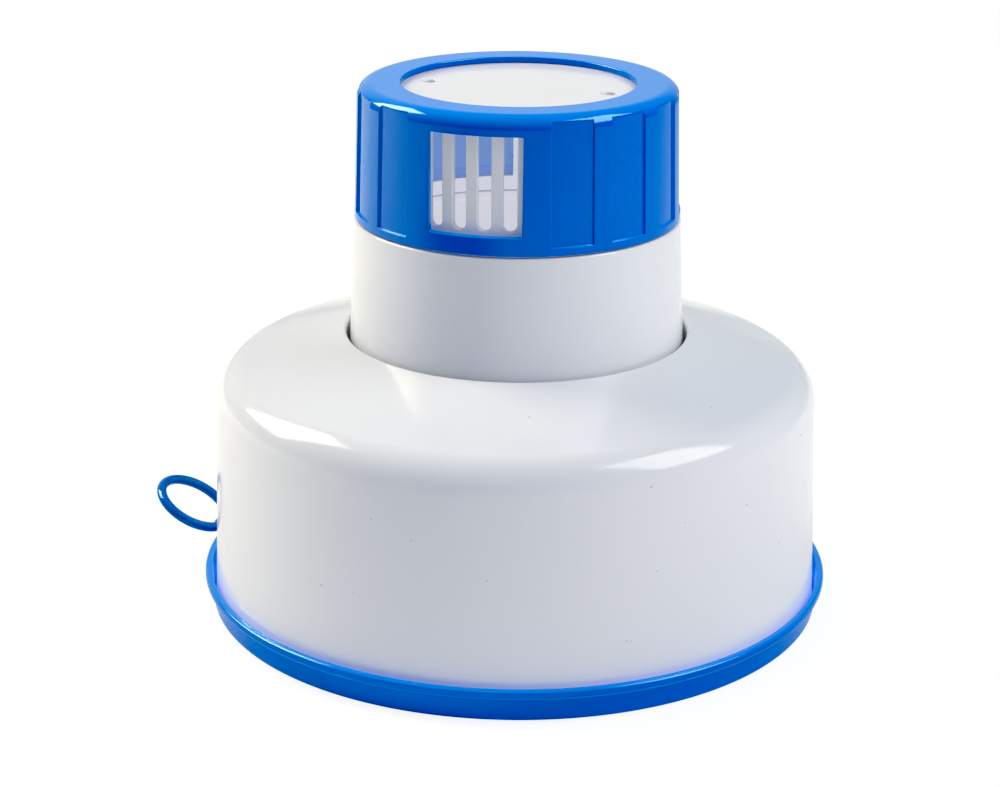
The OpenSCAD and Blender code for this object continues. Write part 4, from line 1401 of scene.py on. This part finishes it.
# studio surroundings: one row per elevation, twelve azimuths each from the camera's side round by +X
SKY = [
    [(0.19, 0.21, 0.38), (0.29, 0.3, 0.46), (0.35, 0.36, 0.5), (0.29, 0.31, 0.43), (0.22, 0.27, 0.37), (0.32, 0.37, 0.46), (0.71, 0.71, 0.73), (0.63, 0.65, 0.69), (0.44, 0.48, 0.53), (0.27, 0.32, 0.38), (0.12, 0.18, 0.28), (0.11, 0.15, 0.29)],
    [(0.25, 0.29, 0.46), (0.34, 0.36, 0.52), (0.37, 0.39, 0.53), (0.29, 0.32, 0.43), (0.19, 0.26, 0.35), (0.2, 0.31, 0.4), (0.53, 0.59, 0.62), (0.56, 0.6, 0.65), (0.44, 0.48, 0.52), (0.32, 0.37, 0.42), (0.2, 0.25, 0.35), (0.17, 0.23, 0.37)],
    [(0.32, 0.37, 0.51), (0.37, 0.41, 0.54), (0.37, 0.41, 0.52), (0.29, 0.34, 0.43), (0.21, 0.29, 0.36), (0.2, 0.3, 0.37), (0.34, 0.41, 0.45), (0.44, 0.48, 0.5), (0.43, 0.46, 0.49), (0.39, 0.43, 0.47), (0.3, 0.36, 0.43), (0.28, 0.34, 0.45)],
    [(0.37, 0.42, 0.52), (0.38, 0.43, 0.53), (0.38, 0.42, 0.51), (0.34, 0.39, 0.46), (0.31, 0.36, 0.42), (0.3, 0.37, 0.42), (0.36, 0.41, 0.44), (0.41, 0.45, 0.48), (0.44, 0.47, 0.49), (0.41, 0.45, 0.49), (0.37, 0.42, 0.48), (0.35, 0.41, 0.49)],
    [(0.38, 0.43, 0.49), (0.38, 0.43, 0.49), (0.38, 0.43, 0.49), (0.38, 0.43, 0.49), (0.38, 0.43, 0.49), (0.38, 0.43, 0.49), (0.38, 0.43, 0.49), (0.38, 0.43, 0.49), (0.38, 0.43, 0.49), (0.38, 0.43, 0.49), (0.38, 0.43, 0.49), (0.38, 0.43, 0.49)],
]


def wmath(op, a, b=0.0, clamp=False):
    n = wt.nodes.new("ShaderNodeMath")
    n.operation, n.use_clamp = op, clamp
    for sock, v in zip(n.inputs, (a, b)):
        if hasattr(v, "is_output"):
            wt.links.new(v, sock)
        else:
            sock.default_value = v
    return n.outputs[0]


tc = wt.nodes.new("ShaderNodeTexCoord")
sep = wt.nodes.new("ShaderNodeSeparateXYZ")
wt.links.new(tc.outputs["Generated"], sep.inputs[0])
turn = wmath("FRACT", wmath("ADD", wmath("DIVIDE", wmath("ARCTAN2", sep.outputs[0], wmath("MULTIPLY", sep.outputs[1], -1.0)), 2 * math.pi), 1.0))
elev = wmath("MULTIPLY", wmath("ARCSINE", sep.outputs[2]), 180 / math.pi)
peak = 1.2 * max(max(max(c) for c in row) for row in SKY)
total = None
GAIN = [1.0, 1.0, 1.0, 1.03, 1.12]
for k, e in enumerate(SKY_EL):
    ramp = wt.nodes.new("ShaderNodeValToRGB")
    cr_ = ramp.color_ramp
    cr_.interpolation = "LINEAR"
    row = [tuple(v * GAIN[k] / peak for v in c) + (1.0,) for c in SKY[k]]
    cr_.elements[0].position, cr_.elements[0].color = 0.0, row[0]
    cr_.elements[1].position, cr_.elements[1].color = 1.0, row[0]
    for i in range(1, 12):
        cr_.elements.new(i / 12.0).color = row[i]
    wt.links.new(turn, ramp.inputs[0])
    up_ = wmath("DIVIDE", wmath("SUBTRACT", elev, SKY_EL[k - 1]), e - SKY_EL[k - 1], True) if k else 1.0
    dn_ = wmath("DIVIDE", wmath("SUBTRACT", SKY_EL[k + 1], elev), SKY_EL[k + 1] - e, True) if k < 4 else 1.0
    sc_ = wt.nodes.new("ShaderNodeVectorMath")
    sc_.operation = "SCALE"
    wt.links.new(ramp.outputs[0], sc_.inputs[0])
    wt.links.new(wmath("MULTIPLY", up_, dn_), sc_.inputs[3])
    if total is None:
        total = sc_.outputs[0]
    else:
        ad_ = wt.nodes.new("ShaderNodeVectorMath")
        ad_.operation = "ADD"
        wt.links.new(total, ad_.inputs[0])
        wt.links.new(sc_.outputs[0], ad_.inputs[1])
        total = ad_.outputs[0]
lit = wt.nodes.new("ShaderNodeBackground")
wt.links.new(total, lit.inputs["Color"])
lit.inputs["Strength"].default_value = peak
seen = wt.nodes.new("ShaderNodeBackground")
seen.inputs["Color"].default_value = (1, 1, 1, 1)
seen.inputs["Strength"].default_value = 1.0
lp = wt.nodes.new("ShaderNodeLightPath")
mx = wt.nodes.new("ShaderNodeMixShader")
wt.links.new(lp.outputs["Is Camera Ray"], mx.inputs[0])
wt.links.new(lit.outputs[0], mx.inputs[1])
wt.links.new(seen.outputs[0], mx.inputs[2])
wt.links.new(mx.outputs[0], wo.inputs[0])


def area(name, loc, target, size, power, color=(1, 1, 1)):
    ld = bpy.data.lights.new(name, "AREA")
    ld.shape = "RECTANGLE"
    ld.size, ld.size_y = size
    ld.energy = power
    ld.color = color
    ob = bpy.data.objects.new(name, ld)
    ob.location = loc
    ob.rotation_mode = "QUATERNION"
    ob.rotation_quaternion = (Vector(target) - Vector(loc)).to_track_quat("-Z", "Y")
    scene.collection.objects.link(ob)
    return ob


area("softbox_left", (-0.9993, 0.4037, 0.8370), (0, 0, 0.11), (0.62, 0.80), 14.62, (1.0, 0.905, 0.712))
area("softbox_right", (0.9139, -0.2621, 0.9966), (0, 0, 0.11), (0.80, 0.80), 10.25, (1.0, 0.969, 0.874))

# camera at the photographed viewing angle
cam = bpy.data.cameras.new("camera")
cam.sensor_width = 36.0
cam.lens = 86.95
cam.clip_start, cam.clip_end = 0.05, 50
co = bpy.data.objects.new("camera", cam)
pitch, yaw, roll = rad(19.4204), rad(-0.3966), rad(0.3755)
fw = Vector((math.sin(yaw) * math.cos(pitch), math.cos(yaw) * math.cos(pitch), -math.sin(pitch)))
rt = Vector((math.cos(yaw), -math.sin(yaw), 0))
up = rt.cross(fw)
r2 = rt * math.cos(roll) + up * math.sin(roll)
u2 = -rt * math.sin(roll) + up * math.cos(roll)
co.matrix_world = Matrix(((r2.x, u2.x, -fw.x, 0.0), (r2.y, u2.y, -fw.y, -0.66004), (r2.z, u2.z, -fw.z, 0.29321), (0, 0, 0, 1)))
scene.collection.objects.link(co)
scene.camera = co
